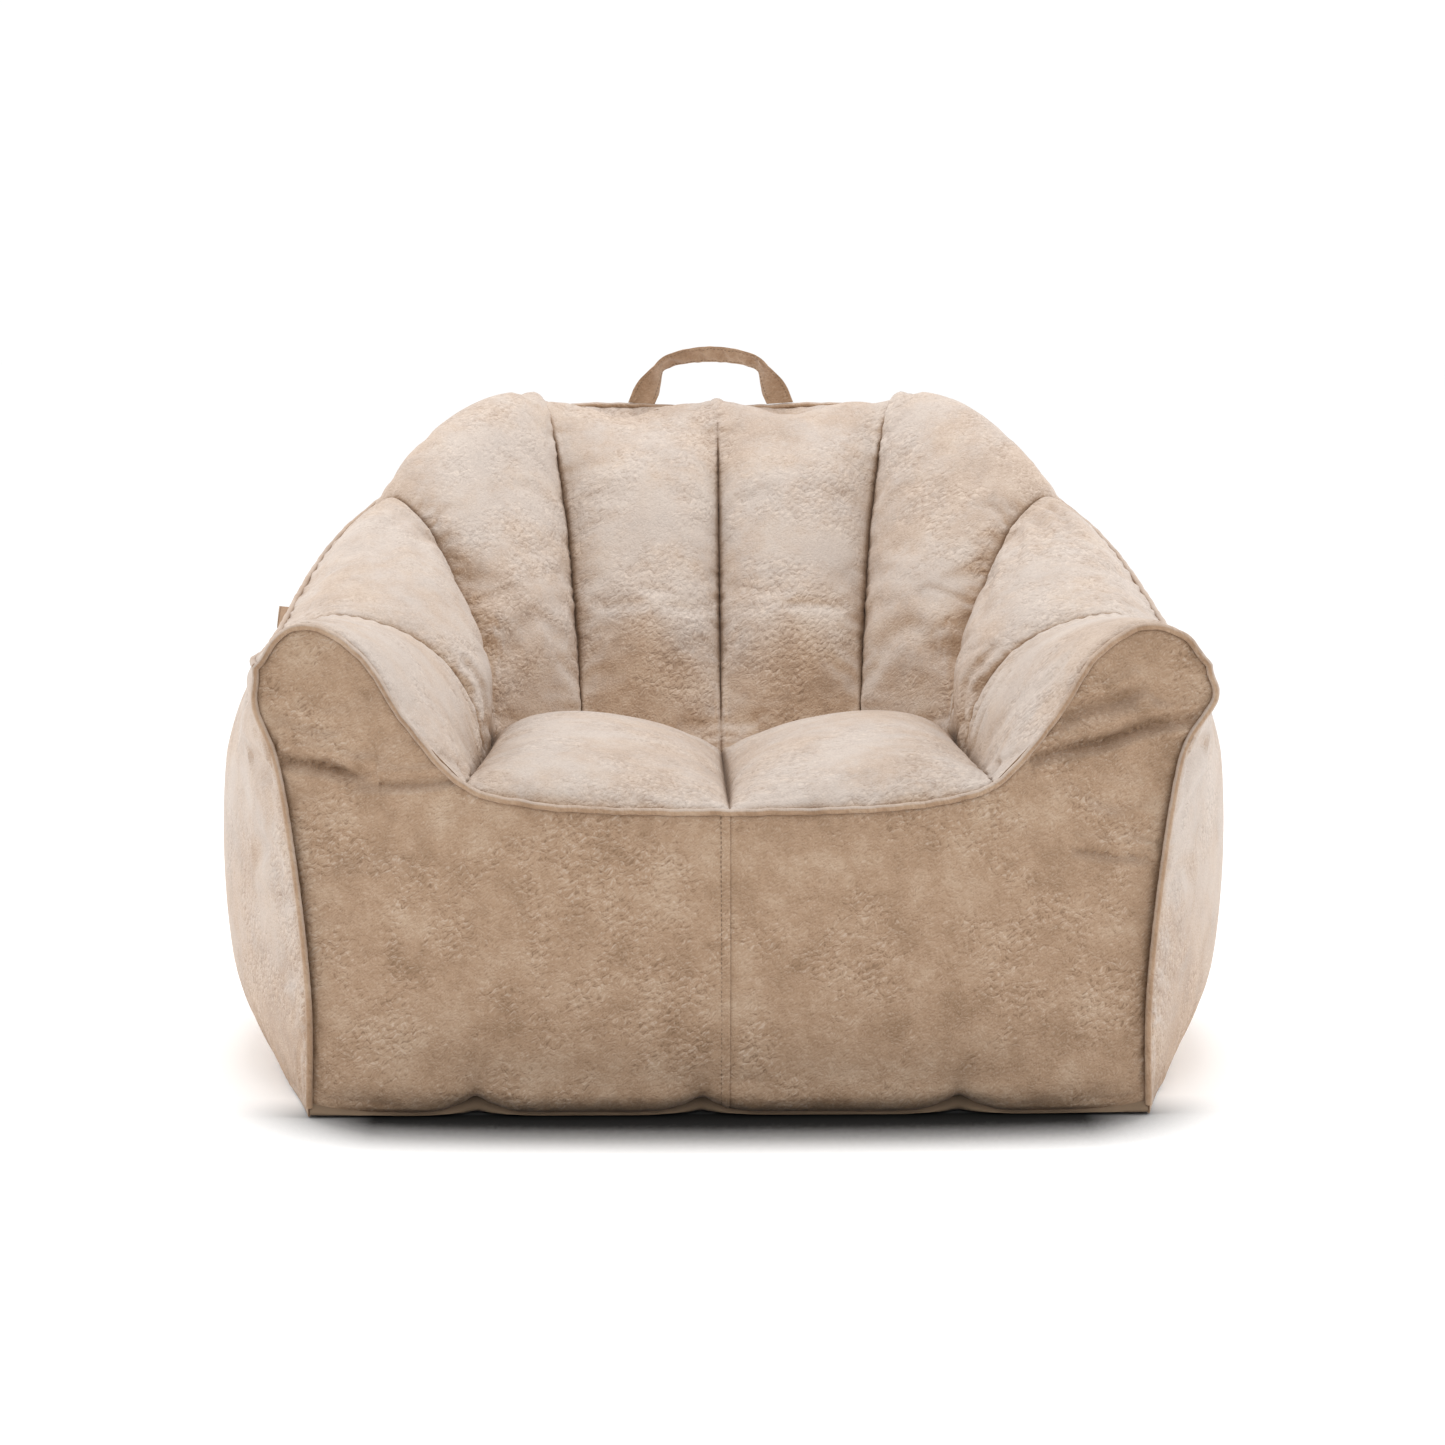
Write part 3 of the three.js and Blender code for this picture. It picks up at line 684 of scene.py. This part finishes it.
# crackle sets how strong each suede's painted light and shade on the grain is, and pale how much painted light
# it takes where it faces up, the sides or the back; the front panels take little.
COVER = suede("cover_suede")
FRONT_COVER = suede("front_suede", pale=0.10)
CORD_COVER = suede("piping_suede", (0.97, 0.95, 0.93), 0.0, 0.4, 0.5)
STRAP_COVER = suede("handle_suede", (1.06, 1.04, 1.02), 0.9, 0.5, 0.3)
LABEL_CLOTH = woven("label_cloth", (0.36, 0.235, 0.15), 900)
BASE_CLOTH = woven("base_cloth", (0.27, 0.19, 0.125), 500)
LINING = woven("lining_cloth", (0.72, 0.70, 0.65), 700)
ZIP_TAPE = woven("zip_tape_cloth", (0.16, 0.125, 0.095), 1100)
THREAD = woven("thread", (0.23, 0.155, 0.10), 1500)
ZIP_NYLON = nylon("zip_nylon")
ZIP_METAL = metal("zip_metal")


# ---- Camera, floor and light ----------------------------------------------------------------
def add_camera():
    camera = bpy.data.objects.new("camera", bpy.data.cameras.new("camera"))
    bpy.context.collection.objects.link(camera)
    camera.location = CAMERA_AT
    camera.rotation_euler = (Vector(CAMERA_AIM) - camera.location).to_track_quat("-Z", "Y").to_euler()
    camera.data.sensor_width = 36
    camera.data.lens = CAMERA_LENS
    camera.data.clip_end = 60
    bpy.context.scene.camera = camera


def add_lamp(name, size, power, at):
    lamp = bpy.data.objects.new(name, bpy.data.lights.new(name, "AREA"))
    lamp.data.shape = "RECTANGLE"
    lamp.data.size, lamp.data.size_y = size
    lamp.data.energy = power
    lamp.location = at
    lamp.rotation_euler = (Vector(LAMP_AIM) - Vector(at)).to_track_quat("-Z", "Y").to_euler()
    bpy.context.collection.objects.link(lamp)


def add_floor():
    """A pale floor. Its own material darkens it just in front of the hem, where the chair shades it."""
    n = Nodes("floor")
    nearby = n.add("ShaderNodeAmbientOcclusion", {"Distance": 0.17}, samples=8).outputs["AO"]
    place = n.add("ShaderNodeSeparateXYZ", {0: n.add("ShaderNodeTexCoord").outputs["Object"]}).outputs
    in_front = n.fit(place["Y"], -0.30, -0.375, shape="LINEAR")
    between_corners = n.fit(n.math("ABSOLUTE", place["X"]), 0.50, 0.34, shape="LINEAR")
    tone = n.add("ShaderNodeMix", {0: n.math("MULTIPLY", in_front, between_corners), 2: 1.0})
    n.tree.links.new(n.fit(nearby, 0.64, 0.99, 0.02, 1.0, "LINEAR"), tone.inputs[3])
    n.tree.links.new(tone.outputs[0], n.shader.inputs["Base Color"])
    n.set(Roughness=0.9, Specular_IOR_Level=0.1)
    mesh = bpy.data.meshes.new("floor")
    corners = [(x * FLOOR_SIZE, y * FLOOR_SIZE, 0) for x, y in ((-1, -1), (1, -1), (1, 1), (-1, 1))]
    mesh.from_pydata(corners, [], [(0, 1, 2, 3)])
    mesh.materials.append(n.material)
    floor = bpy.data.objects.new("floor", mesh)
    floor.location.z = -0.0005
    bpy.context.collection.objects.link(floor)


def add_studio():
    """An even white surround, three soft lamps and the floor."""
    world = bpy.data.worlds.new("studio")
    world.use_nodes = True
    background = world.node_tree.nodes["Background"]
    background.inputs["Color"].default_value = (1, 1, 1, 1)
    background.inputs["Strength"].default_value = 1.02
    bpy.context.scene.world = world
    for name, (size, power, at) in LAMPS.items():
        add_lamp(name, size, power, at)
    add_floor()
    bpy.context.scene.view_settings.view_transform = "Standard"


# ---- Cover panels ---------------------------------------------------------------------------
def cut_size(grid):
    """The rectangle a panel is cut from, and the panel's own area."""
    along_u = np.linalg.norm(np.diff(grid, axis=0), axis=2).sum(axis=0).max()
    along_v = np.linalg.norm(np.diff(grid, axis=1), axis=2).sum(axis=1).max()
    a, b = grid[1:, 1:] - grid[:-1, :-1], grid[1:, :-1] - grid[:-1, 1:]
    area = 0.5 * np.linalg.norm(np.cross(a, b), axis=2).sum()
    return (round(float(along_u), 3), round(float(along_v), 3)), float(area)


def steps(length, cell=CELL):
    """How many cells of the cloth fit in a length."""
    return max(6, int(round(length / cell)))


def eased(n, ease=0.25):
    """n + 1 places from 0 to 1, closer together towards both ends."""
    x = np.linspace(0, 1, n + 1)
    return x - ease * np.sin(2 * np.pi * x) / (2 * np.pi)


def cover_grids():
    """Every cover panel's name, its grid of points and whether the grid faces inwards."""
    grids = {}
    for side, name_end in ((1, "right"), (-1, "left")):
        turn = np.array([side, 1, 1])
        for name in CHANNELS:
            s = eased(steps(0.23))
            v = 4 * eased(steps(0.46), 0.12)
            channel = channel_surface(name, s, v, side=side) * turn
            grids[f"{name}_channel_panel_{name_end}"] = (channel, side < 0)
        a = 7 * np.linspace(0, 1, steps(0.60) + 1)
        b = eased(steps(0.42), 0.35)
        grids[f"front_panel_{name_end}"] = (front_surface(a, b, side) * turn, side < 0)
        a, b = eased(steps(0.25)), eased(steps(0.46))
        grids[f"seat_panel_{name_end}"] = (seat_surface(a, b) * turn, side < 0)
        v = 3 * np.linspace(0, 1, steps(0.62, OUTER_CELL) + 1)
        t = 2 * eased(steps(0.60, OUTER_CELL))
        grids[f"back_panel_{name_end}"] = (outer_surface(t, v) * turn, side < 0)
        t = 2 + 2 * eased(steps(0.62, OUTER_CELL))
        grids[f"side_panel_{name_end}"] = (outer_surface(t, v) * turn, side < 0)
    return grids


def joined(grids):
    """All panels as one mesh: its points, its faces, and the numbers of the points along the seams."""
    points, faces, seams, start = [], [], [], 0
    for grid, flip in grids.values():
        nu, nv = grid.shape[:2]
        edge = np.zeros((nu, nv), bool)
        edge[[0, -1], :] = edge[:, [0, -1]] = True
        seams.append(start + np.flatnonzero(edge.reshape(-1)))
        points.append(grid.reshape(-1, 3))
        faces.append(grid_faces(nu, nv, start, flip))
        start += nu * nv
    return np.vstack(points), np.vstack(faces), np.concatenate(seams)


def settled(points, faces, pinned):
    """Where the points come to rest as cloth that is cut too large and filled from behind."""
    mesh = bpy.data.meshes.new("cover_cloth")
    mesh.from_pydata(points.tolist(), [], faces.tolist())
    cloth = bpy.data.objects.new("cover_cloth", mesh)
    bpy.context.collection.objects.link(cloth)
    cloth.vertex_groups.new(name="seams").add(pinned.tolist(), 1.0, "REPLACE")
    modifier = cloth.modifiers.new("Cloth", "CLOTH")
    modifier.settings.quality = 5
    modifier.settings.mass = CLOTH_MASS
    modifier.settings.tension_stiffness = CLOTH_STIFF
    modifier.settings.compression_stiffness = CLOTH_STIFF
    modifier.settings.shear_stiffness = CLOTH_STIFF / 3
    modifier.settings.bending_stiffness = CLOTH_BEND
    modifier.settings.vertex_group_mass = "seams"
    modifier.settings.pin_stiffness = 1.0
    modifier.settings.shrink_min = -CLOTH_SLACK
    modifier.settings.use_pressure = True
    modifier.settings.uniform_pressure_force = CLOTH_PRESSURE
    modifier.settings.effector_weights.gravity = 0
    modifier.collision_settings.use_collision = False
    modifier.point_cache.frame_end = CLOTH_FRAMES
    for step in range(1, CLOTH_FRAMES + 1):
        bpy.context.scene.frame_set(step)
    evaluated = cloth.evaluated_get(bpy.context.evaluated_depsgraph_get())
    after = np.empty(3 * len(points))
    evaluated.data.vertices.foreach_get("co", after)
    bpy.context.scene.frame_set(1)
    bpy.data.objects.remove(cloth)
    return after.reshape(-1, 3)


def inflate(grids):
    """Every panel with the puckers of its cloth, and with little of its swelling."""
    before, faces, seams = joined(grids)
    moved = settled(before, faces, seams) - before
    far = np.linalg.norm(moved, axis=1, keepdims=True)
    moved *= np.minimum(1, CLOTH_CAP / np.maximum(far, 1e-9))
    result, start = {}, 0
    for name, (grid, flip) in grids.items():
        count = grid.shape[0] * grid.shape[1]
        shift = moved[start:start + count].reshape(grid.shape)
        puckers = shift - (1 - SWELLING_KEPT) * swelling(shift)
        result[name] = (grid + PUCKER[name.split("_")[0]] * puckers, flip)
        start += count
    return result


def swelling(shift):
    """The slow part of a panel's movement: its swelling, without its puckers. It fades out at the seams."""
    slow = shift
    reach = int(round(0.055 / CELL))
    kernel = np.hanning(2 * reach + 3)[1:-1]
    kernel /= kernel.sum()
    for axis in (0, 1):
        padded = np.pad(slow, [(reach, reach) if a == axis else (0, 0) for a in range(3)], mode="reflect")
        slow = sum(k * np.take(padded, np.arange(slow.shape[axis]) + i, axis) for i, k in enumerate(kernel))
    for axis in (0, 1):
        count = shift.shape[axis]
        from_seam = np.minimum(np.arange(count), np.arange(count)[::-1]) / 5
        slow = slow * np.expand_dims(smoothstep(from_seam), [a for a in range(3) if a != axis])
    return slow


# ---- Piping ---------------------------------------------------------------------------------
def both_sides(half):
    """A whole line, from its half on the right that begins in the middle."""
    return np.vstack([(half * MIRROR)[::-1], half[1:]])


def add_piping():
    """The cord round the seat opening and down both corners, and the cord round the top rim."""
    top = spline(FRONT_EDGE, np.linspace(0, 7, 120))
    top[:, 1] -= 0.003
    corner = spline(CORNER_SEAM, np.linspace(0, 3, 60))[1:]
    sunk = smoothstep(np.linspace(0, 6, 59))[:, None]
    corner += np.array([0, -0.002, 0]) * (1 - sunk) + np.array([-0.0012, 0.0012, 0]) * sunk
    half = np.vstack([top, corner])
    half[-1, 2] = 0.009
    rim = wall(RIM, np.linspace(0, 3.96, 160))
    for node, line in (("front_piping", both_sides(half)), ("rim_piping", both_sides(rim))):
        line = resample(bulged(line), PIPING_STEP)
        run = np.arange(len(line)) * PIPING_STEP
        wobble = np.sin(run * 171 + 1) * np.sin(run * 67) * 0.0006
        line[:, 2] += wobble * (line[:, 2] > 0.02)
        radius = PIPING_RADIUS * (1 + 0.05 * np.sin(run * 410) * np.sin(run * 93))
        piece = new_piece(node + "_cord", *tube(line, radius), CORD_COVER)
        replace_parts(piece, node)


# ---- Handle ---------------------------------------------------------------------------------
# Half of the strap's line, from its top to a foot, before it is mirrored.
HANDLE_LINE = MM * np.array([[0, 0, 58], [22, 0, 56.5], [53.5, 0, 47], [67.6, 0, 26], [77.8, 0, 3.2]])


def strap_frame(u):
    """The strap's middle, width direction and face direction at places u along it, from 0 to 1."""
    line = both_sides(HANDLE_LINE)
    last = len(line) - 1
    middle = spline(line, u * last)
    tangent = spline(line, np.clip(u + 0.002, 0, 1) * last) - spline(line, np.clip(u - 0.002, 0, 1) * last)
    tangent /= np.linalg.norm(tangent, axis=1, keepdims=True)
    tilt = np.interp(np.sin(np.pi * u), [0, 0.2, 0.62, 0.75, 1], [0, -10, -66, -60, -50])
    tilt = np.radians(tilt)[:, None]
    flat = np.stack([-tangent[:, 2], 0 * u, tangent[:, 0]], axis=1)
    level = 0.85 * (1 - smoothstep(np.sin(np.pi * u) / 0.45))[:, None]
    flat = flat * (1 - level) + level * np.stack([np.sign(u - 0.5), 0 * u, 0 * u], axis=1)
    flat /= np.linalg.norm(flat, axis=1, keepdims=True)
    wide = flat * np.cos(tilt) + np.array([0, 1.0, 0]) * np.sin(tilt)
    face = np.cross(tangent, wide)
    face /= np.linalg.norm(face, axis=1, keepdims=True)
    return middle, wide, face


def strap_line(u, strap, across, way):
    """A line on the strap's face (way 1) or back (way -1), at a place across it from -1 to 1."""
    middle, wide, face = strap
    swell = np.sin(np.pi * u)
    out = way * math.sqrt(1 - abs(across) ** 8) * HANDLE_THICK / 2
    out *= 1 - 0.45 * math.exp(-(((abs(across) - SEWN_AT) / 0.07) ** 2))
    crumple = 0.0020 * smoothstep((swell - 0.5) / 0.3) * (1 - across**4)
    crumple *= np.sin(u * 62 + 2.6 * across) * np.sin(u * 23 - across + 0.6)
    half = across * HANDLE_WIDTH / 2 * (1 - 0.06 * swell**4)
    return middle + wide * half[:, None] + face * (out + crumple)[:, None]


def add_handle():
    u = np.linspace(0, 1, 150)
    strap = strap_frame(u)
    across = np.linspace(-1, 1, 21)
    lines = [strap_line(u, strap, place, 1) for place in across]
    lines += [strap_line(u, strap, place, -1) for place in across[-2:0:-1]]
    solid = loft(np.stack(lines, axis=1) + HANDLE_SEAM)
    piece = new_piece("handle_strap_cover", *solid, STRAP_COVER, "handle")
    outward(piece)
    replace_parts(piece, "handle_strap")
    inner = slice(6, -6)
    for edge, place in ((-1, "inner"), (1, "outer")):
        for way, word in ((1, "front"), (-1, "back")):
            path = strap_line(u, strap, edge * SEWN_AT, way) + HANDLE_SEAM
            sewn = stitches(path[inner], way * strap[2][inner], 0.0042)
            new_piece(f"handle_stitches_{word}_{place}", *sewn, THREAD, "handle")


# ---- Label, base and zip --------------------------------------------------------------------
def add_label():
    """A folded tab sewn into the left rim seam. Its back corner stands out further than its front one."""
    line = bulged(spline(wall(RIM, np.linspace(2.69, 2.86, 14)) * MIRROR, np.linspace(0, 13, 24)))
    rings = []
    for p, reach in zip(line, np.linspace(0.0135, 0.0050, len(line))):
        out = np.linspace(0.0036, reach, 16)[:, None]
        top = p + out * np.array([-1, 0, 0.10])
        rings.append(np.concatenate([top, top[::-1] - np.array([0, 0, 0.0019])]))
    tab = new_piece("side_label_tab", *loft(rings), LABEL_CLOTH)
    outward(tab)
    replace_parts(tab, "side_label")
    edge = np.array([ring[12] for ring in rings])[1:-1] + np.array([0, 0, 0.0002])
    sewn = new_piece("side_label_stitches", *stitches(edge, np.array([0, 0, 1.0]), 0.0036, 0.0025), THREAD)


def foot_half_width(y):
    """How far from the middle the foot of the chair is, at a depth y."""
    foot = wall(FOOT, np.linspace(0.02, 4, 400))
    return np.interp(-y, -foot[:, 1], foot[:, 0]) - 0.004


def base_sheet(name, depths, hem=None):
    """A base cloth with one row of points at each depth. Its front edge rolls up to meet the hem."""
    across = np.linspace(-1, 1, 121)
    grid = np.zeros((len(depths), len(across), 3))
    for i, y in enumerate(depths):
        grid[i, :, 0] = across * foot_half_width(y)
        grid[i, :, 1] = y
    if hem is not None:
        x = grid[0, :, 0]
        hem_y, hem_z = (np.interp(x, hem[:, 0], hem[:, k]) for k in (1, 2))
        rolled = np.linspace(0, 1, 9)[:, None]
        roll = np.stack([x + 0 * rolled, hem_y + 0.7 * hem_z * (0.4 * rolled - np.sin(np.pi * rolled)),
                         hem_z * (1 - rolled) ** 1.6], axis=2)
        fade = np.exp(-((depths - depths[0]) / 0.03) ** 2)[:, None]
        grid[..., 1] += fade * (hem_y + 0.3 * hem_z - depths[0])[None]
        grid = np.concatenate([roll, grid[1:]])
    ripple = np.sin(grid[..., 0] * 31) * np.sin(grid[..., 1] * 43 + 1)
    grid[..., 2] = np.maximum(grid[..., 2], 0.0022 + 0.0006 * ripple)
    sheet = new_piece(name + "_sheet", *shell(grid, 0.0012), BASE_CLOTH)
    outward(sheet)
    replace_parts(sheet, name)


def add_base(hem):
    front = np.concatenate([[-0.372], np.linspace(-0.364, ZIP_Y - ZIP_OPENING, 60)])
    base_sheet("base_panel_front", front, hem)
    rear = np.linspace(ZIP_Y + ZIP_OPENING, 0.352, 30)
    base_sheet("base_panel_rear", rear)


def add_zip_tape(word, side):
    """One of the zip's two tapes, with its row of stitches."""
    x = np.linspace(-ZIP_HALF_LENGTH, ZIP_HALF_LENGTH, 120)
    y = ZIP_Y + side * np.linspace(TAPE_INNER, TAPE_OUTER, 8)
    grid = np.zeros((120, 8, 3))
    grid[..., 0], grid[..., 1] = x[:, None], y[None]
    grid[..., 2] = 0.0037 + 0.0003 * np.sin(x * 90)[:, None]
    tape = new_piece(f"zip_tape_{word}_woven", *shell(grid, 0.0007), ZIP_TAPE)
    outward(tape)
    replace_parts(tape, "zip_tape_" + word)
    path = np.stack([x, 0 * x + ZIP_Y + side * 0.0105, 0 * x + 0.0009], axis=1)
    sewn = stitches(path, np.array([0, 0, -1.0]))
    new_piece(f"zip_stitches_{word}", *sewn, THREAD)


def add_zip_coil():
    """The zip's chain: loops of nylon that reach across the middle from each side in turn."""
    vertices, faces, start = [], [], 0
    k = np.linspace(0, 1, 5)
    for i, x in enumerate(np.arange(-COIL_HALF_LENGTH, COIL_HALF_LENGTH, COIL_PITCH)):
        y = ZIP_Y + (1 if i % 2 else -1) * (0.0026 - 0.0044 * k)
        z = 0.0033 + 0.0006 * np.sin(3.1 * k)
        v, f = tube(np.stack([x + 0 * k, y, z], axis=1), COIL_WIRE, 6)
        faces += [[start + j for j in face] for face in f]
        start += len(v)
        vertices.append(v)
    coil = new_piece("zip_chain_coil", np.vstack(vertices), faces, ZIP_NYLON)
    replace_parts(coil, "zip_chain")


def add_zip_metal():
    """The zip's two stops and its slider, which is wider at its fore end."""
    for node in ("zip_stop_closed", "zip_stop_open"):
        low, high = np.array(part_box(node))
        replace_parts(rounded_block(node + "_clip", low, high, 0.0004, ZIP_METAL, "body"), node)
    low, high = np.array(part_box("zip_slider"))
    slider = rounded_block("zip_slider_body", low, high, 0.0005, ZIP_METAL, "slider")
    for vertex in slider.data.vertices:
        fore = (vertex.co.x - low[0]) / (high[0] - low[0])
        vertex.co.y = ZIP_Y + (vertex.co.y - ZIP_Y) * (0.62 + 0.38 * fore)
    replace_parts(slider, "zip_slider")


def rounded_block(name, low, high, bevel, material, body):
    """A metal block between two corners, with its edges rounded."""
    edit = bmesh.new()
    bmesh.ops.create_cube(edit, size=1)
    for vertex in edit.verts:
        vertex.co = Vector((low + high) / 2) + Vector(np.array(vertex.co) * (high - low))
    bmesh.ops.subdivide_edges(edit, edges=edit.edges[:], cuts=2, use_grid_fill=True)
    sharp = [e for e in edit.edges if e.calc_face_angle(0) > 1]
    bmesh.ops.bevel(edit, geom=sharp, offset=bevel, segments=3, affect="EDGES")
    mesh = bpy.data.meshes.new(name)
    edit.to_mesh(mesh)
    edit.free()
    piece = bpy.data.objects.new(name, mesh)
    bpy.context.collection.objects.link(piece)
    mesh.materials.append(material)
    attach(piece, body)
    return piece


# ---- Bead bags ------------------------------------------------------------------------------
def pillow(name, rings):
    """A lining bag through rings, drawn in towards its two ends. It replaces the CAD node of its name."""
    rings = np.asarray(rings)
    place = np.linspace(-1, 1, len(rings))
    size = (1 - np.abs(place) ** 6) ** 0.22
    size[[0, -1]] = 0.55
    middle = rings.mean(axis=1, keepdims=True)
    rings = middle + (rings - middle) * size[:, None, None]
    rings[..., 2] = np.maximum(rings[..., 2], 0.0075)
    bag = new_piece(name + "_lining", *loft(rings), LINING)
    outward(bag)
    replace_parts(bag, name)


def add_bags():
    """A bag behind each channel panel, down to the floor, and one under each seat panel."""
    for side, end in ((1, "right"), (-1, "left")):
        turn = np.array([side, 1, 1])
        for name, t0 in CHANNELS.items():
            s = np.linspace(0.07, 0.82 if name == "arm" else 0.93, 15)
            inner = channel_surface(name, s, np.linspace(0.15, 3.25, 16), -BAG_INSET)
            outer = sections(RIM, FOOT, t0 + s, np.linspace(0.22, 2.9, 12))
            outer = outer + normals(outer) * (-BAG_INSET)
            foot = inner[:, :1].copy()
            foot[..., 2] = BAG_FOOT
            shaft = foot + (inner[:, :1] - foot) * np.linspace(0, 0.85, 6)[None, :, None]
            pillow(f"{name}_bead_bag_{end}", np.concatenate([shaft, inner, outer], axis=1) * turn)
        a, b = np.linspace(0.05, 0.92, 15), np.linspace(0.10, 0.92, 14)
        top = seat_surface(a, b)
        top[..., 2] -= BAG_INSET
        low = top[:, ::-1].copy()
        low[..., 2] = BAG_FOOT
        mid_back = (top[:, -1:] + low[:, :1]) / 2
        mid_front = (top[:, :1] + low[:, -1:]) / 2
        pillow(f"seat_bead_bag_{end}", np.concatenate([top, mid_back, low, mid_front], axis=1) * turn)


def add_cover(cut, grids):
    """Every cover panel, from its surface as cut and its surface in use."""
    for name, (grid, flip) in grids.items():
        grid = finer(grid)
        out = -1 if flip else 1
        grid = press_folds(name, grid, out)
        if not name.startswith("front"):
            grid = gathered(grid, out, last_seam=not name.startswith(("arm", "side")))
        if name.startswith("arm"):
            grid = raise_edge(grid, np.s_[-1:, :], 0.009, 0.0012, out)
        if name.startswith("seat"):
            grid = raise_edge(grid, np.s_[:, :1], 0.009, 0.0012, out)
        if name == "front_panel_left":
            grid = raise_edge(grid, np.s_[:1, :], 0.007, 0.0013, out)
        grid = bulged(grid)
        cloth = FRONT_COVER if name.startswith("front") else COVER
        panel = new_piece(name + "_cover", *shell(grid, FABRIC, flip), cloth)
        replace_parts(panel, name)
        flat, area = cut_size(cut[name][0])
        area = min(area * (1 + CLOTH_SLACK), flat[0] * flat[1])


def add_centre_stitches(grid):
    """The topstitching just left of the middle of the front. grid is the left front panel's."""
    left = grid[np.abs(grid[:, :, 0].mean(axis=1) + 0.0055).argmin()]
    path = left[2:-2] + np.array([0, -0.0004, 0])
    sewn = stitches(path, np.array([0, -1.0, 0]))
    new_piece("front_centre_stitches", *sewn, THREAD)


def hem_line():
    """The front's hem, from left to right."""
    a, b = np.linspace(0, 7, 80), np.array([0.0, 0.1])
    halves = [front_surface(a, b, side)[:, 0] * np.array([side, 1, 1]) for side in (-1, 1)]
    line = np.vstack(halves)
    return line[line[:, 0].argsort()]


add_camera()
add_studio()
add_bags()
cut = cover_grids()
cover = inflate(cut)
add_cover(cut, cover)
add_piping()
add_handle()
add_label()
add_base(hem_line())
add_zip_tape("front", -1)
add_zip_tape("rear", 1)
add_zip_coil()
add_zip_metal()
add_centre_stitches(cover["front_panel_left"][0])
